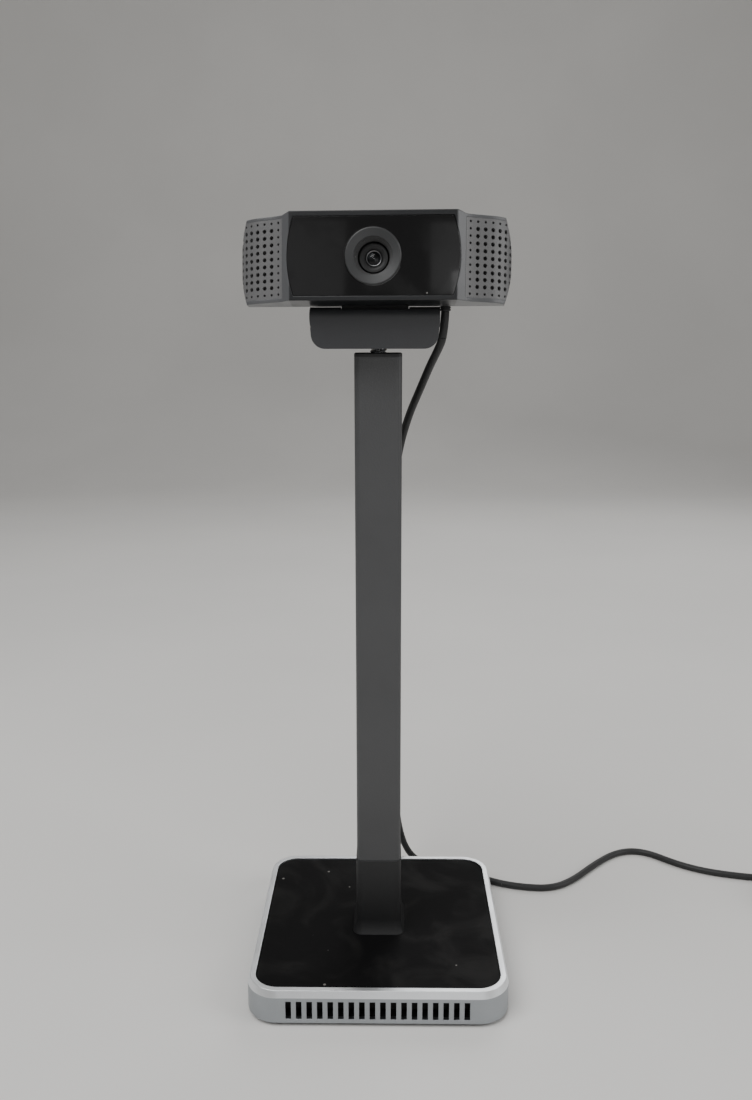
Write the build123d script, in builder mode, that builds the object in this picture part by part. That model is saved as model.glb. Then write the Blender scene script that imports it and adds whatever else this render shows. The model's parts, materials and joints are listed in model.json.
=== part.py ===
"""Desktop webcam on a weighted post stand, with its USB lead.

The stand is a square weighted base with a rectangular post. A threaded stud in the post's cap carries the
folded monitor clip of a wide webcam. The origin is the middle of the base, on the surface it stands on.
X runs to the camera's left-hand side as it looks out, Y runs backwards and Z is up. Sizes are millimetres.
"""
import os
from math import asin, cos, degrees, pi, radians, sin, sqrt, tan

from build123d import *

os.makedirs("parts", exist_ok=True)

# ---------------------------------------------------------------- driving sizes: stand
base_width = 99.2
base_depth = 99.2
base_height = 12.8
base_corner_r = 12.0
base_wall = 1.8
rim_bevel = 1.0
rim_bevel_height = 2.6
rim_land = 2.0
foot_height = 1.6
foot_d = 13.0
foot_inset = 13.5
plate_t = 1.5
plate_recess = 0.6
plate_gap = 0.15
ledge_width = 3.6
ledge_t = 1.0
slot_count = 18
slot_pitch = 3.9
slot_width = 2.1
slot_height = 7.2
slot_bottom = 1.6
cover_t = 1.2
cover_gap = 0.2
ballast_gap = 0.8
cover_screw_d = 3.0
cover_screw_head_d = 5.6
cover_screw_length = 7.0
cover_screw_inset = 26.0
recess_length = 3.2
recess_width = 0.7
recess_depth = 0.8

post_width = 17.4
post_depth = 22.0
post_height = 230.0
post_wall = 1.6
post_corner_r = 2.0
collar_height = 32.0
collar_flare = 1.7
collar_flare_height = 6.5
collar_lip = 0.35
flare_waist = 0.45
flare_waist_level = 0.4
fit_gap = 0.1
root_block_height = 26.0
post_bolt_d = 5.0
post_bolt_head_d = 8.5
post_bolt_head_h = 5.0
post_bolt_length = 26.0
post_bolt_pitch = 10.0
bolt_socket_r = 2.0
bolt_socket_floor = 1.5
cap_t = 1.5
cap_plug = 14.0
cap_chamfer = 0.4

stud_d = 6.3
stud_reach = 6.4
stud_tail = 13.0
stud_chamfer = 0.7
nut_flats = 11.1
nut_t = 5.5
nut_lift = 2.0
thread_gap = 0.05

# ---------------------------------------------------------------- driving sizes: monitor clip
pan_rest = -3.3
tilt_rest = 7.0
clip_gap = 1.9
leg_t = 5.6
leg_half_width = 16.0
leg_front = -14.0
leg_corner_r = 6.0
leg_chamfer = 0.6
insert_d = 9.0
insert_height = 5.0
insert_roof = 0.5
pad_t = 1.0
pad_gap = 0.6
pad_corner_r = 3.0
leg_pad_shift = 4.0
leg_pad_end = 7.0
leg_pad_side = 2.0
arm_pad_shift = 2.0
arm_pad_end = 4.0
arm_t = 3.2
arm_half_width = 22.0
arm_rear_half_width = 17.5
arm_taper_share = 0.45
arm_corner_r = 8.0
lip_half_width = 22.75
lip_taper = 0.75
lip_t = 3.0
lip_corner_r = 5.0
lip_drop = 1.3
tilt_axis_y = -17.0
tilt_axis_up = 12.1
knuckle_r = 3.5
barrel_r = 2.6
barrel_length = 23.4
washer_t = 0.25
pocket_side_gap = 0.05
neck_t = 2.4
tilt_pin_d = 2.0
bracket_flange = 8.0
flange_t = 1.2
neck_rise = 0.5
tilt_up = 20.0
tilt_down = 20.0
swing_spare = 5.0
pin_end_wall = 2.5
pin_end_gap = 0.2
pin_sunk = 0.4
fold_pin_sunk = 0.3
fold_axis_y = 25.0
fold_axis_up = 8.7
fold_knuckle_r = 3.6
fold_centre_half = 9.7
fold_pin_d = 2.5
pin_gap = 0.05
turn_gap = 0.3

# ---------------------------------------------------------------- driving sizes: camera head
head_bottom = 3.87
head_height = 29.7
head_front = 12.0
head_back = 12.0
head_wall = 2.0
head_split = 3.0
under_round_r = 12.0
top_round_r = 9.0
panel_half_width = 29.4
panel_bow = 2.3
panel_t = 1.5
panel_set_back = 0.2
panel_gap = 0.1
bezel_top = 1.75
bezel_bottom = 1.55
frame_edge_in = 0.9
frame_edge_draw = 0.36
shoulder_in = 0.4
end_bulge = 0.05
front_wall = 1.8
wing_root_x = 31.6
wing_root_y = -9.4
wing_end_x = 47.2
wing_end_y = 1.2
wing_top_drop = 0.8
wing_end_bow = 2.4
rear_corner_x = 44.6
rear_corner_y = 6.2
grille_t = 0.8
cloth_t = 0.3
grille_top = 1.1
grille_bottom = 1.3
grille_end_y = 1.0
grille_root_lap = 0.35
hole_first = 0.05
hole_last = 0.80
hole_d = 1.4
border_hole_d = 0.85
hole_rows = 11
hole_columns = 8
hole_pitch = 2.4
lens_ring_r = 9.6
lens_ring_bore_r = 6.6
lens_cone_end_r = 5.4
ring_edge = 0.4
ring_rise = 0.25
cone_set_back = 0.5
cone_rim = 0.35
lens_barrel_r = 5.0
lens_barrel_front = -8.2
lens_barrel_length = 9.0
barrel_dish = 1.3
barrel_step = 0.5
barrel_rim = 0.9
barrel_edge = 0.2
focus_travel = 0.35
front_glass_r = 2.5
front_glass_in = 1.4
front_glass_bulge = 0.7
front_glass_t = 1.6
rear_glass_in = 5.0
rear_glass_bulge = 0.4
rear_glass_t = 1.4
holder_side = 13.0
holder_corner_r = 1.5
holder_set_back = 4.0
sensor_width = 6.4
sensor_height = 5.2
sensor_t = 0.8
board_y = 2.6
board_t = 1.2
board_width = 56.0
board_height = 20.2
board_corner_r = 1.5
chip_side = 9.0
chip_t = 1.0
chip_x = 10.0
chip_up = 3.0
second_chip_x = -12.0
socket_x = 18.0
socket_down = 5.5
socket_width = 8.0
socket_height = 4.0
socket_t = 2.4
board_screw_x = 25.0
board_screw_z = 8.1
boss_r = 2.4
boss_root = 0.2
screw_hole_depth = 6.0
screw_length = 5.0
screw_d = 1.8
screw_head_d = 3.6
screw_head_t = 1.2
pipe_x = 15.5
pipe_r = 1.0
mic_x = 36.5
mic_r = 2.6
mic_t = 2.2
mic_in = 6.6
mic_hole_r = 0.9

# ---------------------------------------------------------------- driving sizes: lead and plug
cord_d = 3.0
boot_r = 2.3
boot_tip_r = 1.95
boot_x = 24.5
boot_y = -9.0
boot_top_up = 19.8
boot_tip_up = 14.5
coil_x = 199.0
coil_y = 31.5
coil_inner_r = 10.8
coil_outer_r = 22.8
coil_height = 10.9
coil_side_h = 2.4
coil_slope = 4.8
tie_width = 8.0
tie_t = 0.8
tie_gap = 0.9
plug_x = 224.6
plug_z = 4.2
plug_boot_y = -1.0
plug_boot_length = 10.0
grip_length = 26.0
grip_width = 16.0
grip_t = 8.2
usb_width = 12.0
usb_t = 4.5
usb_length = 12.0
usb_wall = 0.35
usb_corner_r = 0.5
usb_inner_r = 0.3
usb_depth = 5.0
plug_tip_wall = 0.5
plug_root_wall = 1.5
grip_corner_r = 2.2
grip_edge_r = 1.2
window_x = 2.5
window_in = 5.5
window_width = 2.0
window_length = 2.4
tongue_in = 4.8
tongue_length = 16.0
tongue_side_gap = 0.3
tongue_rise = 0.05
tongue_t = 1.9
contact_pitch = 2.3
contact_in = 3.4
contact_width = 1.0
contact_length = 7.6
contact_t = 0.2

# ---------------------------------------------------------------- levels and frames that follow from them
shell_bottom = foot_height
rim_top = shell_bottom + base_height
plate_top = rim_top - plate_recess
plate_bottom = plate_top - plate_t
cover_top = shell_bottom + cover_t
plate_inset = rim_bevel + rim_land
post_top = plate_top + post_height
cap_top = post_top + cap_t
post_inner_width = post_width - 2 * post_wall
post_inner_depth = post_depth - 2 * post_wall
post_inner_r = max(post_corner_r - post_wall, 0.3)

clip_bottom = cap_top + clip_gap
leg_top = clip_bottom + leg_t
arm_bottom = leg_top + pad_t + pad_gap + pad_t
arm_top = arm_bottom + arm_t
lip_bottom = cap_top + lip_drop
tilt_axis_z = cap_top + tilt_axis_up
fold_axis_z = cap_top + fold_axis_up
lip_front = tilt_axis_y - knuckle_r
leg_rear = fold_axis_y - fold_knuckle_r - turn_gap
leg_length = leg_rear - leg_front
leg_middle = (leg_front + leg_rear) / 2
arm_taper_y = arm_taper_share * fold_axis_y

head_top = head_bottom + head_height
head_middle = head_bottom + head_height / 2
panel_front = -head_front + panel_set_back
panel_back = panel_front + panel_t
wall_back = panel_back + front_wall
panel_top = head_top - bezel_top
panel_bottom = head_bottom + bezel_bottom
lens_z = (panel_top + panel_bottom) / 2
floor_inside = head_bottom + head_wall

clip_pose = Location((0, 0, 0), (0, 0, pan_rest))
head_pose = clip_pose * Location((0, tilt_axis_y, tilt_axis_z), (-tilt_rest, 0, 0))
lens_axis = Axis((0, 0, lens_z), (0, 1, 0))
lens_plane = Plane.XY.offset(lens_z)


def across_x(y, z):
    """A sketch plane normal to X through a point, so that an extrusion both ways lies along X."""
    return Plane(origin=(0, y, z), x_dir=(0, 1, 0), z_dir=(1, 0, 0))


# ================================================================ stand
with BuildPart() as base_shell:
    with BuildSketch(Plane.XY.offset(shell_bottom)):
        RectangleRounded(base_width, base_depth, base_corner_r)
    extrude(amount=base_height - rim_bevel_height)
    with BuildSketch(Plane.XY.offset(rim_top - rim_bevel_height)):
        RectangleRounded(base_width, base_depth, base_corner_r)
    with BuildSketch(Plane.XY.offset(rim_top)):
        RectangleRounded(base_width - 2 * rim_bevel, base_depth - 2 * rim_bevel, base_corner_r - rim_bevel)
    loft()
    with BuildSketch(Plane.XY.offset(rim_top)):
        RectangleRounded(
            base_width - 2 * plate_inset, base_depth - 2 * plate_inset, base_corner_r - plate_inset
        )
    extrude(amount=-(plate_recess + plate_t), mode=Mode.SUBTRACT)
    with BuildSketch(Plane.XY.offset(shell_bottom)):
        RectangleRounded(base_width - 2 * base_wall, base_depth - 2 * base_wall, base_corner_r - base_wall)
    extrude(amount=plate_bottom - ledge_t - shell_bottom, mode=Mode.SUBTRACT)
    with BuildSketch(Plane.XY.offset(shell_bottom)):
        RectangleRounded(
            base_width - 2 * (base_wall + ledge_width),
            base_depth - 2 * (base_wall + ledge_width),
            base_corner_r - base_wall - ledge_width,
        )
    extrude(amount=base_height, mode=Mode.SUBTRACT)
    with BuildSketch(Plane.XZ.offset(base_depth / 2)):
        with Locations((0, shell_bottom + slot_bottom + slot_height / 2)):
            with GridLocations(slot_pitch, 1, slot_count, 1):
                Rectangle(slot_width, slot_height)
    extrude(amount=-base_wall, mode=Mode.SUBTRACT)
base_shell.part.label = "base_shell"
export_step(base_shell.part, "parts/base_shell.step")

with BuildPart() as top_plate:
    with BuildSketch(Plane.XY.offset(plate_bottom)):
        RectangleRounded(
            base_width - 2 * (plate_inset + plate_gap),
            base_depth - 2 * (plate_inset + plate_gap),
            base_corner_r - plate_inset - plate_gap,
        )
        with GridLocations(1, post_bolt_pitch, 1, 2):
            Circle(post_bolt_d / 2 + fit_gap, mode=Mode.SUBTRACT)
    extrude(amount=plate_t)
top_plate.part.label = "top_plate"
export_step(top_plate.part, "parts/top_plate.step")

ballast_bottom = cover_top + cover_gap
ballast_inset = base_wall + ledge_width + ballast_gap
with BuildPart() as ballast:
    with BuildSketch(Plane.XY.offset(ballast_bottom)):
        RectangleRounded(
            base_width - 2 * ballast_inset, base_depth - 2 * ballast_inset, base_corner_r - ballast_inset
        )
    extrude(amount=plate_bottom - ballast_bottom)
    with BuildSketch(Plane.XY.offset(ballast_bottom)):
        with GridLocations(1, post_bolt_pitch, 1, 2):
            Circle(post_bolt_head_d / 2 + fit_gap)
    extrude(amount=post_bolt_head_h + fit_gap, mode=Mode.SUBTRACT)
    with BuildSketch(Plane.XY.offset(ballast_bottom)):
        with GridLocations(1, post_bolt_pitch, 1, 2):
            Circle(post_bolt_d / 2 + fit_gap)
    extrude(amount=base_height, mode=Mode.SUBTRACT)
    with BuildSketch(Plane.XY.offset(ballast_bottom)):
        with GridLocations(base_width - 2 * cover_screw_inset, base_depth - 2 * cover_screw_inset, 2, 2):
            Circle(cover_screw_d / 2 + thread_gap)
    extrude(amount=cover_screw_length, mode=Mode.SUBTRACT)
ballast.part.label = "ballast"
export_step(ballast.part, "parts/ballast.step")

screw_head_depth = (cover_screw_head_d - cover_screw_d) / 2
with BuildPart() as bottom_cover:
    with BuildSketch(Plane.XY.offset(shell_bottom)):
        RectangleRounded(
            base_width - 2 * (base_wall + cover_gap),
            base_depth - 2 * (base_wall + cover_gap),
            base_corner_r - base_wall - cover_gap,
        )
    extrude(amount=cover_t)
    with Locations(Plane.XY.offset(shell_bottom)):
        with GridLocations(base_width - 2 * cover_screw_inset, base_depth - 2 * cover_screw_inset, 2, 2):
            Cylinder(
                cover_screw_head_d / 2 + fit_gap,
                cover_t,
                align=(Align.CENTER, Align.CENTER, Align.MIN),
                mode=Mode.SUBTRACT,
            )
bottom_cover.part.label = "bottom_cover"
export_step(bottom_cover.part, "parts/bottom_cover.step")

with BuildPart() as cover_screws:
    with BuildSketch(Plane.XY.offset(cover_top)):
        with GridLocations(base_width - 2 * cover_screw_inset, base_depth - 2 * cover_screw_inset, 2, 2):
            Circle(cover_screw_head_d / 2)
    extrude(amount=-cover_t)
    with BuildSketch(Plane.XY.offset(cover_top)):
        with GridLocations(base_width - 2 * cover_screw_inset, base_depth - 2 * cover_screw_inset, 2, 2):
            Circle(cover_screw_d / 2)
    extrude(amount=cover_screw_length - cover_t)
    with BuildSketch(Plane.XY.offset(shell_bottom)):
        with GridLocations(base_width - 2 * cover_screw_inset, base_depth - 2 * cover_screw_inset, 2, 2):
            Rectangle(recess_length, recess_width)
            Rectangle(recess_width, recess_length)
    extrude(amount=recess_depth, mode=Mode.SUBTRACT)
cover_screws.part.label = "cover_screws"
export_step(cover_screws.part, "parts/cover_screws.step")

with BuildPart() as rubber_feet:
    with BuildSketch():
        with GridLocations(base_width - 2 * foot_inset, base_depth - 2 * foot_inset, 2, 2):
            Circle(foot_d / 2)
    extrude(amount=foot_height)
rubber_feet.part.label = "rubber_feet"
export_step(rubber_feet.part, "parts/rubber_feet.step")

with BuildPart() as post:
    with BuildSketch(Plane.XY.offset(plate_top)):
        RectangleRounded(post_width, post_depth, post_corner_r)
        RectangleRounded(post_inner_width, post_inner_depth, post_inner_r, mode=Mode.SUBTRACT)
    extrude(amount=post_height)
post.part.label = "post"
export_step(post.part, "parts/post.step")

with BuildPart() as foot_collar:
    waist = flare_waist * collar_flare
    for level, grow in ((0, collar_flare), (flare_waist_level, waist), (1, collar_lip)):
        with BuildSketch(Plane.XY.offset(plate_top + level * collar_flare_height)):
            RectangleRounded(post_width + 2 * grow, post_depth + 2 * grow, post_corner_r + grow)
    loft()
    with BuildSketch(Plane.XY.offset(plate_top + collar_flare_height)):
        RectangleRounded(post_width + 2 * collar_lip, post_depth + 2 * collar_lip, post_corner_r + collar_lip)
    extrude(amount=collar_height - collar_flare_height)
    with BuildSketch(Plane.XY.offset(plate_top)):
        RectangleRounded(post_width + fit_gap, post_depth + fit_gap, post_corner_r + fit_gap / 2)
    extrude(amount=collar_height, mode=Mode.SUBTRACT)
foot_collar.part.label = "foot_collar"
export_step(foot_collar.part, "parts/foot_collar.step")

with BuildPart() as root_block:
    with BuildSketch(Plane.XY.offset(plate_top)):
        Rectangle(post_inner_width - fit_gap, post_inner_depth - fit_gap)
        fillet(vertices(), post_inner_r)
        with GridLocations(1, post_bolt_pitch, 1, 2):
            Circle(post_bolt_d / 2 + thread_gap, mode=Mode.SUBTRACT)
    extrude(amount=root_block_height)
root_block.part.label = "root_block"
export_step(root_block.part, "parts/root_block.step")

with BuildPart() as post_bolts:
    with BuildSketch(Plane.XY.offset(ballast_bottom)):
        with GridLocations(1, post_bolt_pitch, 1, 2):
            Circle(post_bolt_head_d / 2)
            RegularPolygon(bolt_socket_r, 6, major_radius=False, mode=Mode.SUBTRACT)
    extrude(amount=post_bolt_head_h - bolt_socket_floor)
    with BuildSketch(Plane.XY.offset(ballast_bottom + post_bolt_head_h - bolt_socket_floor)):
        with GridLocations(1, post_bolt_pitch, 1, 2):
            Circle(post_bolt_head_d / 2)
    extrude(amount=bolt_socket_floor)
    with BuildSketch(Plane.XY.offset(ballast_bottom + post_bolt_head_h)):
        with GridLocations(1, post_bolt_pitch, 1, 2):
            Circle(post_bolt_d / 2)
    extrude(amount=post_bolt_length)
post_bolts.part.label = "post_bolts"
export_step(post_bolts.part, "parts/post_bolts.step")

with BuildPart() as post_cap:
    with BuildSketch(Plane.XY.offset(post_top)):
        RectangleRounded(post_width, post_depth, post_corner_r)
    extrude(amount=cap_t)
    chamfer(post_cap.faces().sort_by(Axis.Z)[-1].edges(), cap_chamfer)
    with BuildSketch(Plane.XY.offset(post_top)):
        RectangleRounded(post_inner_width - fit_gap, post_inner_depth - fit_gap, post_inner_r)
    extrude(amount=-cap_plug)
    with BuildSketch(Plane.XY.offset(cap_top)):
        Circle(stud_d / 2 + fit_gap)
    extrude(amount=-(cap_t + cap_plug), mode=Mode.SUBTRACT)
    with BuildSketch(Plane.XY.offset(post_top - cap_plug)):
        RegularPolygon(nut_flats / 2 + fit_gap, 6, major_radius=False)
    extrude(amount=nut_t + nut_lift, mode=Mode.SUBTRACT)
post_cap.part.label = "post_cap"
export_step(post_cap.part, "parts/post_cap.step")

nut_top = post_top - cap_plug + nut_t + nut_lift
with BuildPart() as stud_nut:
    with BuildSketch(Plane.XY.offset(nut_top - nut_t)):
        RegularPolygon(nut_flats / 2, 6, major_radius=False)
        Circle(stud_d / 2 + thread_gap, mode=Mode.SUBTRACT)
    extrude(amount=nut_t)
stud_nut.part.label = "stud_nut"
export_step(stud_nut.part, "parts/stud_nut.step")

with BuildPart() as stud:
    with BuildSketch(Plane.XY.offset(cap_top - stud_tail)):
        Circle(stud_d / 2)
    extrude(amount=stud_tail + stud_reach)
    chamfer(stud.edges().sort_by(Axis.Z)[-1], stud_chamfer)
stud.part.label = "stud"
export_step(stud.part, "parts/stud.step")

# ================================================================ monitor clip, folded leg
with BuildPart() as clip_leg:
    with BuildSketch(Plane.XY.offset(clip_bottom)) as leg_plan:
        with BuildLine():
            Polyline(
                (-leg_half_width, leg_front),
                (leg_half_width, leg_front),
                (leg_half_width, leg_rear),
                (fold_centre_half, leg_rear),
                (fold_centre_half, fold_axis_y),
                (-fold_centre_half, fold_axis_y),
                (-fold_centre_half, leg_rear),
                (-leg_half_width, leg_rear),
                close=True,
            )
        make_face()
        fillet(leg_plan.vertices().group_by(Axis.Y)[0], leg_corner_r)
    extrude(amount=leg_t)
    with BuildSketch(across_x(fold_axis_y, fold_axis_z)):
        Circle(fold_knuckle_r)
    extrude(amount=fold_centre_half, both=True)
    with BuildSketch(across_x(fold_axis_y, fold_axis_z)):
        Circle(fold_pin_d / 2 + pin_gap)
    extrude(amount=fold_centre_half, both=True, mode=Mode.SUBTRACT)
    with BuildSketch(Plane.XY.offset(clip_bottom)):
        Circle(insert_d / 2 + fit_gap / 2)
    extrude(amount=insert_height, mode=Mode.SUBTRACT)
    chamfer(clip_leg.faces().sort_by(Axis.Z)[0].outer_wire().edges().filter_by(Plane.XY), leg_chamfer)
clip_leg.part.locate(clip_pose)
clip_leg.part.label = "clip_leg"
export_step(clip_leg.part, "parts/clip_leg.step")

with BuildPart() as thread_insert:
    with BuildSketch(Plane.XY.offset(clip_bottom)):
        Circle(insert_d / 2)
        Circle(stud_d / 2 + thread_gap, mode=Mode.SUBTRACT)
    extrude(amount=insert_height)
    with BuildSketch(Plane.XY.offset(clip_bottom + insert_height)):
        Circle(insert_d / 2)
    extrude(amount=-insert_roof)
thread_insert.part.locate(clip_pose)
thread_insert.part.label = "thread_insert"
export_step(thread_insert.part, "parts/thread_insert.step")

with BuildPart() as leg_pad:
    with BuildSketch(Plane.XY.offset(leg_top)):
        with Locations((0, leg_middle - leg_pad_shift)):
            RectangleRounded(
                2 * (leg_half_width - leg_pad_side), leg_length - 2 * leg_pad_end, pad_corner_r
            )
    extrude(amount=pad_t)
leg_pad.part.locate(clip_pose)
leg_pad.part.label = "leg_pad"
export_step(leg_pad.part, "parts/leg_pad.step")

# ================================================================ monitor clip, arm and lip
pocket_half = barrel_length / 2 + washer_t + pocket_side_gap
slot_swing = degrees(asin(neck_t / 2 / knuckle_r)) + swing_spare
with BuildPart() as clip_arm:
    with BuildSketch(Plane.XY.offset(arm_bottom)) as arm_plan:
        with BuildLine():
            Polyline(
                (-arm_half_width, tilt_axis_y),
                (arm_half_width, tilt_axis_y),
                (arm_half_width, arm_taper_y),
                (arm_rear_half_width, fold_axis_y),
                (-arm_rear_half_width, fold_axis_y),
                (-arm_half_width, arm_taper_y),
                close=True,
            )
        make_face()
        fillet(arm_plan.vertices().group_by(Axis.Y)[1], arm_corner_r)
        with Locations((0, fold_axis_y)):
            Rectangle(
                2 * (fold_centre_half + turn_gap),
                2 * (fold_knuckle_r + turn_gap),
                mode=Mode.SUBTRACT,
            )
    extrude(amount=arm_t)
    with BuildSketch(across_x(fold_axis_y, fold_axis_z)):
        Circle(fold_knuckle_r)
    extrude(amount=arm_rear_half_width, both=True)
    with BuildSketch(across_x(fold_axis_y, fold_axis_z)):
        Circle(fold_knuckle_r + turn_gap)
    extrude(amount=fold_centre_half + turn_gap, both=True, mode=Mode.SUBTRACT)
    with BuildSketch(across_x(fold_axis_y, fold_axis_z)):
        Circle(fold_pin_d / 2 + pin_gap)
    extrude(amount=arm_rear_half_width, both=True, mode=Mode.SUBTRACT)
    with BuildSketch(Plane.XZ.offset(-lip_front)) as lip_outline:
        with BuildLine():
            Polyline(
                (-lip_half_width, tilt_axis_z),
                (lip_half_width, tilt_axis_z),
                (lip_half_width - lip_taper, lip_bottom),
                (-lip_half_width + lip_taper, lip_bottom),
                close=True,
            )
        make_face()
        fillet(lip_outline.vertices().group_by(Axis.Y)[0], lip_corner_r)
    extrude(amount=-lip_t)
    with BuildSketch(across_x(tilt_axis_y, tilt_axis_z)):
        Circle(knuckle_r)
    extrude(amount=lip_half_width, both=True)
    with BuildSketch(across_x(tilt_axis_y, tilt_axis_z)):
        Circle(barrel_r + turn_gap)
    extrude(amount=pocket_half, both=True, mode=Mode.SUBTRACT)
    with BuildSketch(across_x(tilt_axis_y, tilt_axis_z)):
        with BuildLine():
            front_angle = radians(90 + tilt_down - tilt_rest + slot_swing)
            rear_angle = radians(90 - tilt_up - tilt_rest - slot_swing)
            reach = 2.5 * knuckle_r
            Polyline(
                (0, 0),
                (reach * cos(rear_angle), reach * sin(rear_angle)),
                (0, reach),
                (reach * cos(front_angle), reach * sin(front_angle)),
                close=True,
            )
        make_face()
    extrude(amount=pocket_half, both=True, mode=Mode.SUBTRACT)
    with BuildSketch(across_x(tilt_axis_y, tilt_axis_z)):
        Circle(tilt_pin_d / 2 + pin_gap)
    extrude(amount=-lip_half_width, mode=Mode.SUBTRACT)
    with BuildSketch(across_x(tilt_axis_y, tilt_axis_z)):
        Circle(tilt_pin_d / 2 + pin_gap)
    extrude(amount=lip_half_width - pin_end_wall, mode=Mode.SUBTRACT)
clip_arm.part.locate(clip_pose)
clip_arm.part.label = "clip_arm"
export_step(clip_arm.part, "parts/clip_arm.step")

with BuildPart() as arm_pad:
    with BuildSketch(Plane.XY.offset(arm_bottom)):
        with Locations((0, leg_middle - arm_pad_shift)):
            RectangleRounded(2 * leg_half_width, leg_length - 2 * arm_pad_end, pad_corner_r)
    extrude(amount=-pad_t)
arm_pad.part.locate(clip_pose)
arm_pad.part.label = "arm_pad"
export_step(arm_pad.part, "parts/arm_pad.step")

with BuildPart() as fold_pin:
    with BuildSketch(across_x(fold_axis_y, fold_axis_z)):
        Circle(fold_pin_d / 2)
    extrude(amount=arm_rear_half_width - fold_pin_sunk, both=True)
fold_pin.part.locate(clip_pose)
fold_pin.part.label = "fold_pin"
export_step(fold_pin.part, "parts/fold_pin.step")

with BuildPart() as tilt_pin:
    with BuildSketch(across_x(tilt_axis_y, tilt_axis_z)):
        Circle(tilt_pin_d / 2)
    extrude(amount=-(lip_half_width - pin_sunk))
    with BuildSketch(across_x(tilt_axis_y, tilt_axis_z)):
        Circle(tilt_pin_d / 2)
    extrude(amount=lip_half_width - pin_end_wall - pin_end_gap)
tilt_pin.part.locate(clip_pose)
tilt_pin.part.label = "tilt_pin"
export_step(tilt_pin.part, "parts/tilt_pin.step")

with BuildPart() as friction_washers:
    for side in (-1, 1):
        with BuildSketch(Plane.YZ.offset(side * (barrel_length / 2 + (washer_t + pocket_side_gap) / 2))):
            with Locations((tilt_axis_y, tilt_axis_z)):
                Circle(barrel_r)
                Circle(tilt_pin_d / 2 + pin_gap, mode=Mode.SUBTRACT)
        extrude(amount=washer_t / 2, both=True)
friction_washers.part.locate(clip_pose)
friction_washers.part.label = "friction_washers"
export_step(friction_washers.part, "parts/friction_washers.step")

# ================================================================ camera head
# the head is drawn in its own frame, at the tilt axis
wing_run_x = wing_end_x - wing_root_x
wing_run_y = wing_end_y - wing_root_y
wing_top = head_top - wing_top_drop
wing_edge_x = wing_end_x - wing_end_bow
frame_edge_x = panel_half_width - frame_edge_in
side_reach = wing_end_x + 1
depth_reach = head_front + head_back + 2
grille_from = wing_root_x - grille_root_lap
wing_curve = Spline(
    (wing_root_x, wing_root_y),
    (wing_root_x + 0.30 * wing_run_x, wing_root_y + 0.20 * wing_run_y),
    (wing_root_x + 0.60 * wing_run_x, wing_root_y + 0.36 * wing_run_y),
    (wing_root_x + 0.85 * wing_run_x, wing_root_y + 0.62 * wing_run_y),
    (wing_end_x, wing_end_y),
    (rear_corner_x, rear_corner_y),
    tangents=[(1.0, 0.62), (-1.0, 0.5)],
)


def wing_spot(u, inset=0.0):
    """A point of the wing's outer line in plan, u from 0 at its root to 1, moved inwards by an inset."""
    spot = wing_curve @ u
    along = wing_curve % u
    return (spot.X - along.Y * inset, spot.Y + along.X * inset)


def head_solid(plan_inset, edge_inset):
    """The camera head's closed form, drawn in by one inset in plan and another at its edges."""
    wing_line = [wing_spot(step / 10, plan_inset) for step in range(11)]
    apex = head_back - plan_inset
    end_x, end_y = wing_line[-1]
    rear_r = (end_x**2 + (apex - end_y) ** 2) / (2 * (apex - end_y))
    rear_middle = (end_x / 2, apex - rear_r + sqrt(rear_r**2 - end_x**2 / 4))
    bottom = head_bottom + edge_inset
    top = head_top - edge_inset
    with BuildPart() as solid:
        with BuildSketch():
            with BuildLine():
                face = -head_front + plan_inset
                Polyline((0, face), (frame_edge_x - frame_edge_draw * plan_inset, face), wing_line[0])
                Spline(*wing_line)
                ThreePointArc((end_x, end_y), rear_middle, (0, apex))
                mirror(about=Plane.YZ)
            make_face()
        extrude(amount=head_top)
        with BuildSketch(Plane.YZ.offset(-side_reach)) as side:
            with Locations((0, bottom)):
                Rectangle(2 * (head_back - edge_inset), top - bottom, align=(Align.CENTER, Align.MIN))
            rear_corners = side.vertices().group_by(Axis.X)[-1].sort_by(Axis.Y)
            fillet(rear_corners[0], under_round_r - edge_inset)
            fillet(side.vertices().group_by(Axis.Y)[-1].sort_by(Axis.X)[-1], top_round_r - edge_inset)
        extrude(amount=2 * side_reach, mode=Mode.INTERSECT)
        with BuildSketch(Plane.XZ.offset(head_front + 1)):
            with BuildLine():
                shoulder = wing_top - edge_inset
                Line((0, bottom), (wing_edge_x - edge_inset, bottom))
                ThreePointArc(
                    (wing_edge_x - edge_inset, bottom),
                    (wing_end_x + end_bulge - edge_inset, head_middle),
                    (wing_edge_x - edge_inset, shoulder),
                )
                Polyline(
                    (wing_edge_x - edge_inset, shoulder),
                    (wing_root_x - shoulder_in, shoulder),
                    (frame_edge_x, top),
                    (0, top),
                )
                mirror(about=Plane.YZ)
            make_face()
        extrude(amount=-depth_reach, mode=Mode.INTERSECT)
    return solid.part


head_form = head_solid(0, 0)
with BuildPart() as head_cavity:
    add(head_solid(head_wall, head_wall))
    with Locations((0, wall_back, 0)):
        Box(
            2 * side_reach,
            depth_reach,
            3 * head_top,
            align=(Align.CENTER, Align.MIN, Align.CENTER),
            mode=Mode.INTERSECT,
        )
with BuildPart() as wing_skin:
    add(head_form)
    with BuildSketch(Plane.XZ.offset(head_front + 1)):
        for side in (-1, 1):
            with Locations((side * (grille_from + side_reach) / 2, head_bottom + grille_bottom)):
                Rectangle(
                    side_reach - grille_from,
                    wing_top - head_bottom - grille_bottom - grille_top,
                    align=(Align.CENTER, Align.MIN),
                )
    extrude(amount=-(head_front + 1 + grille_end_y), mode=Mode.INTERSECT)
    add(head_solid(grille_t + cloth_t, 0), mode=Mode.SUBTRACT)
with BuildPart() as grille_band:
    add(wing_skin.part)
    add(head_solid(grille_t, 0), mode=Mode.SUBTRACT)
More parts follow.
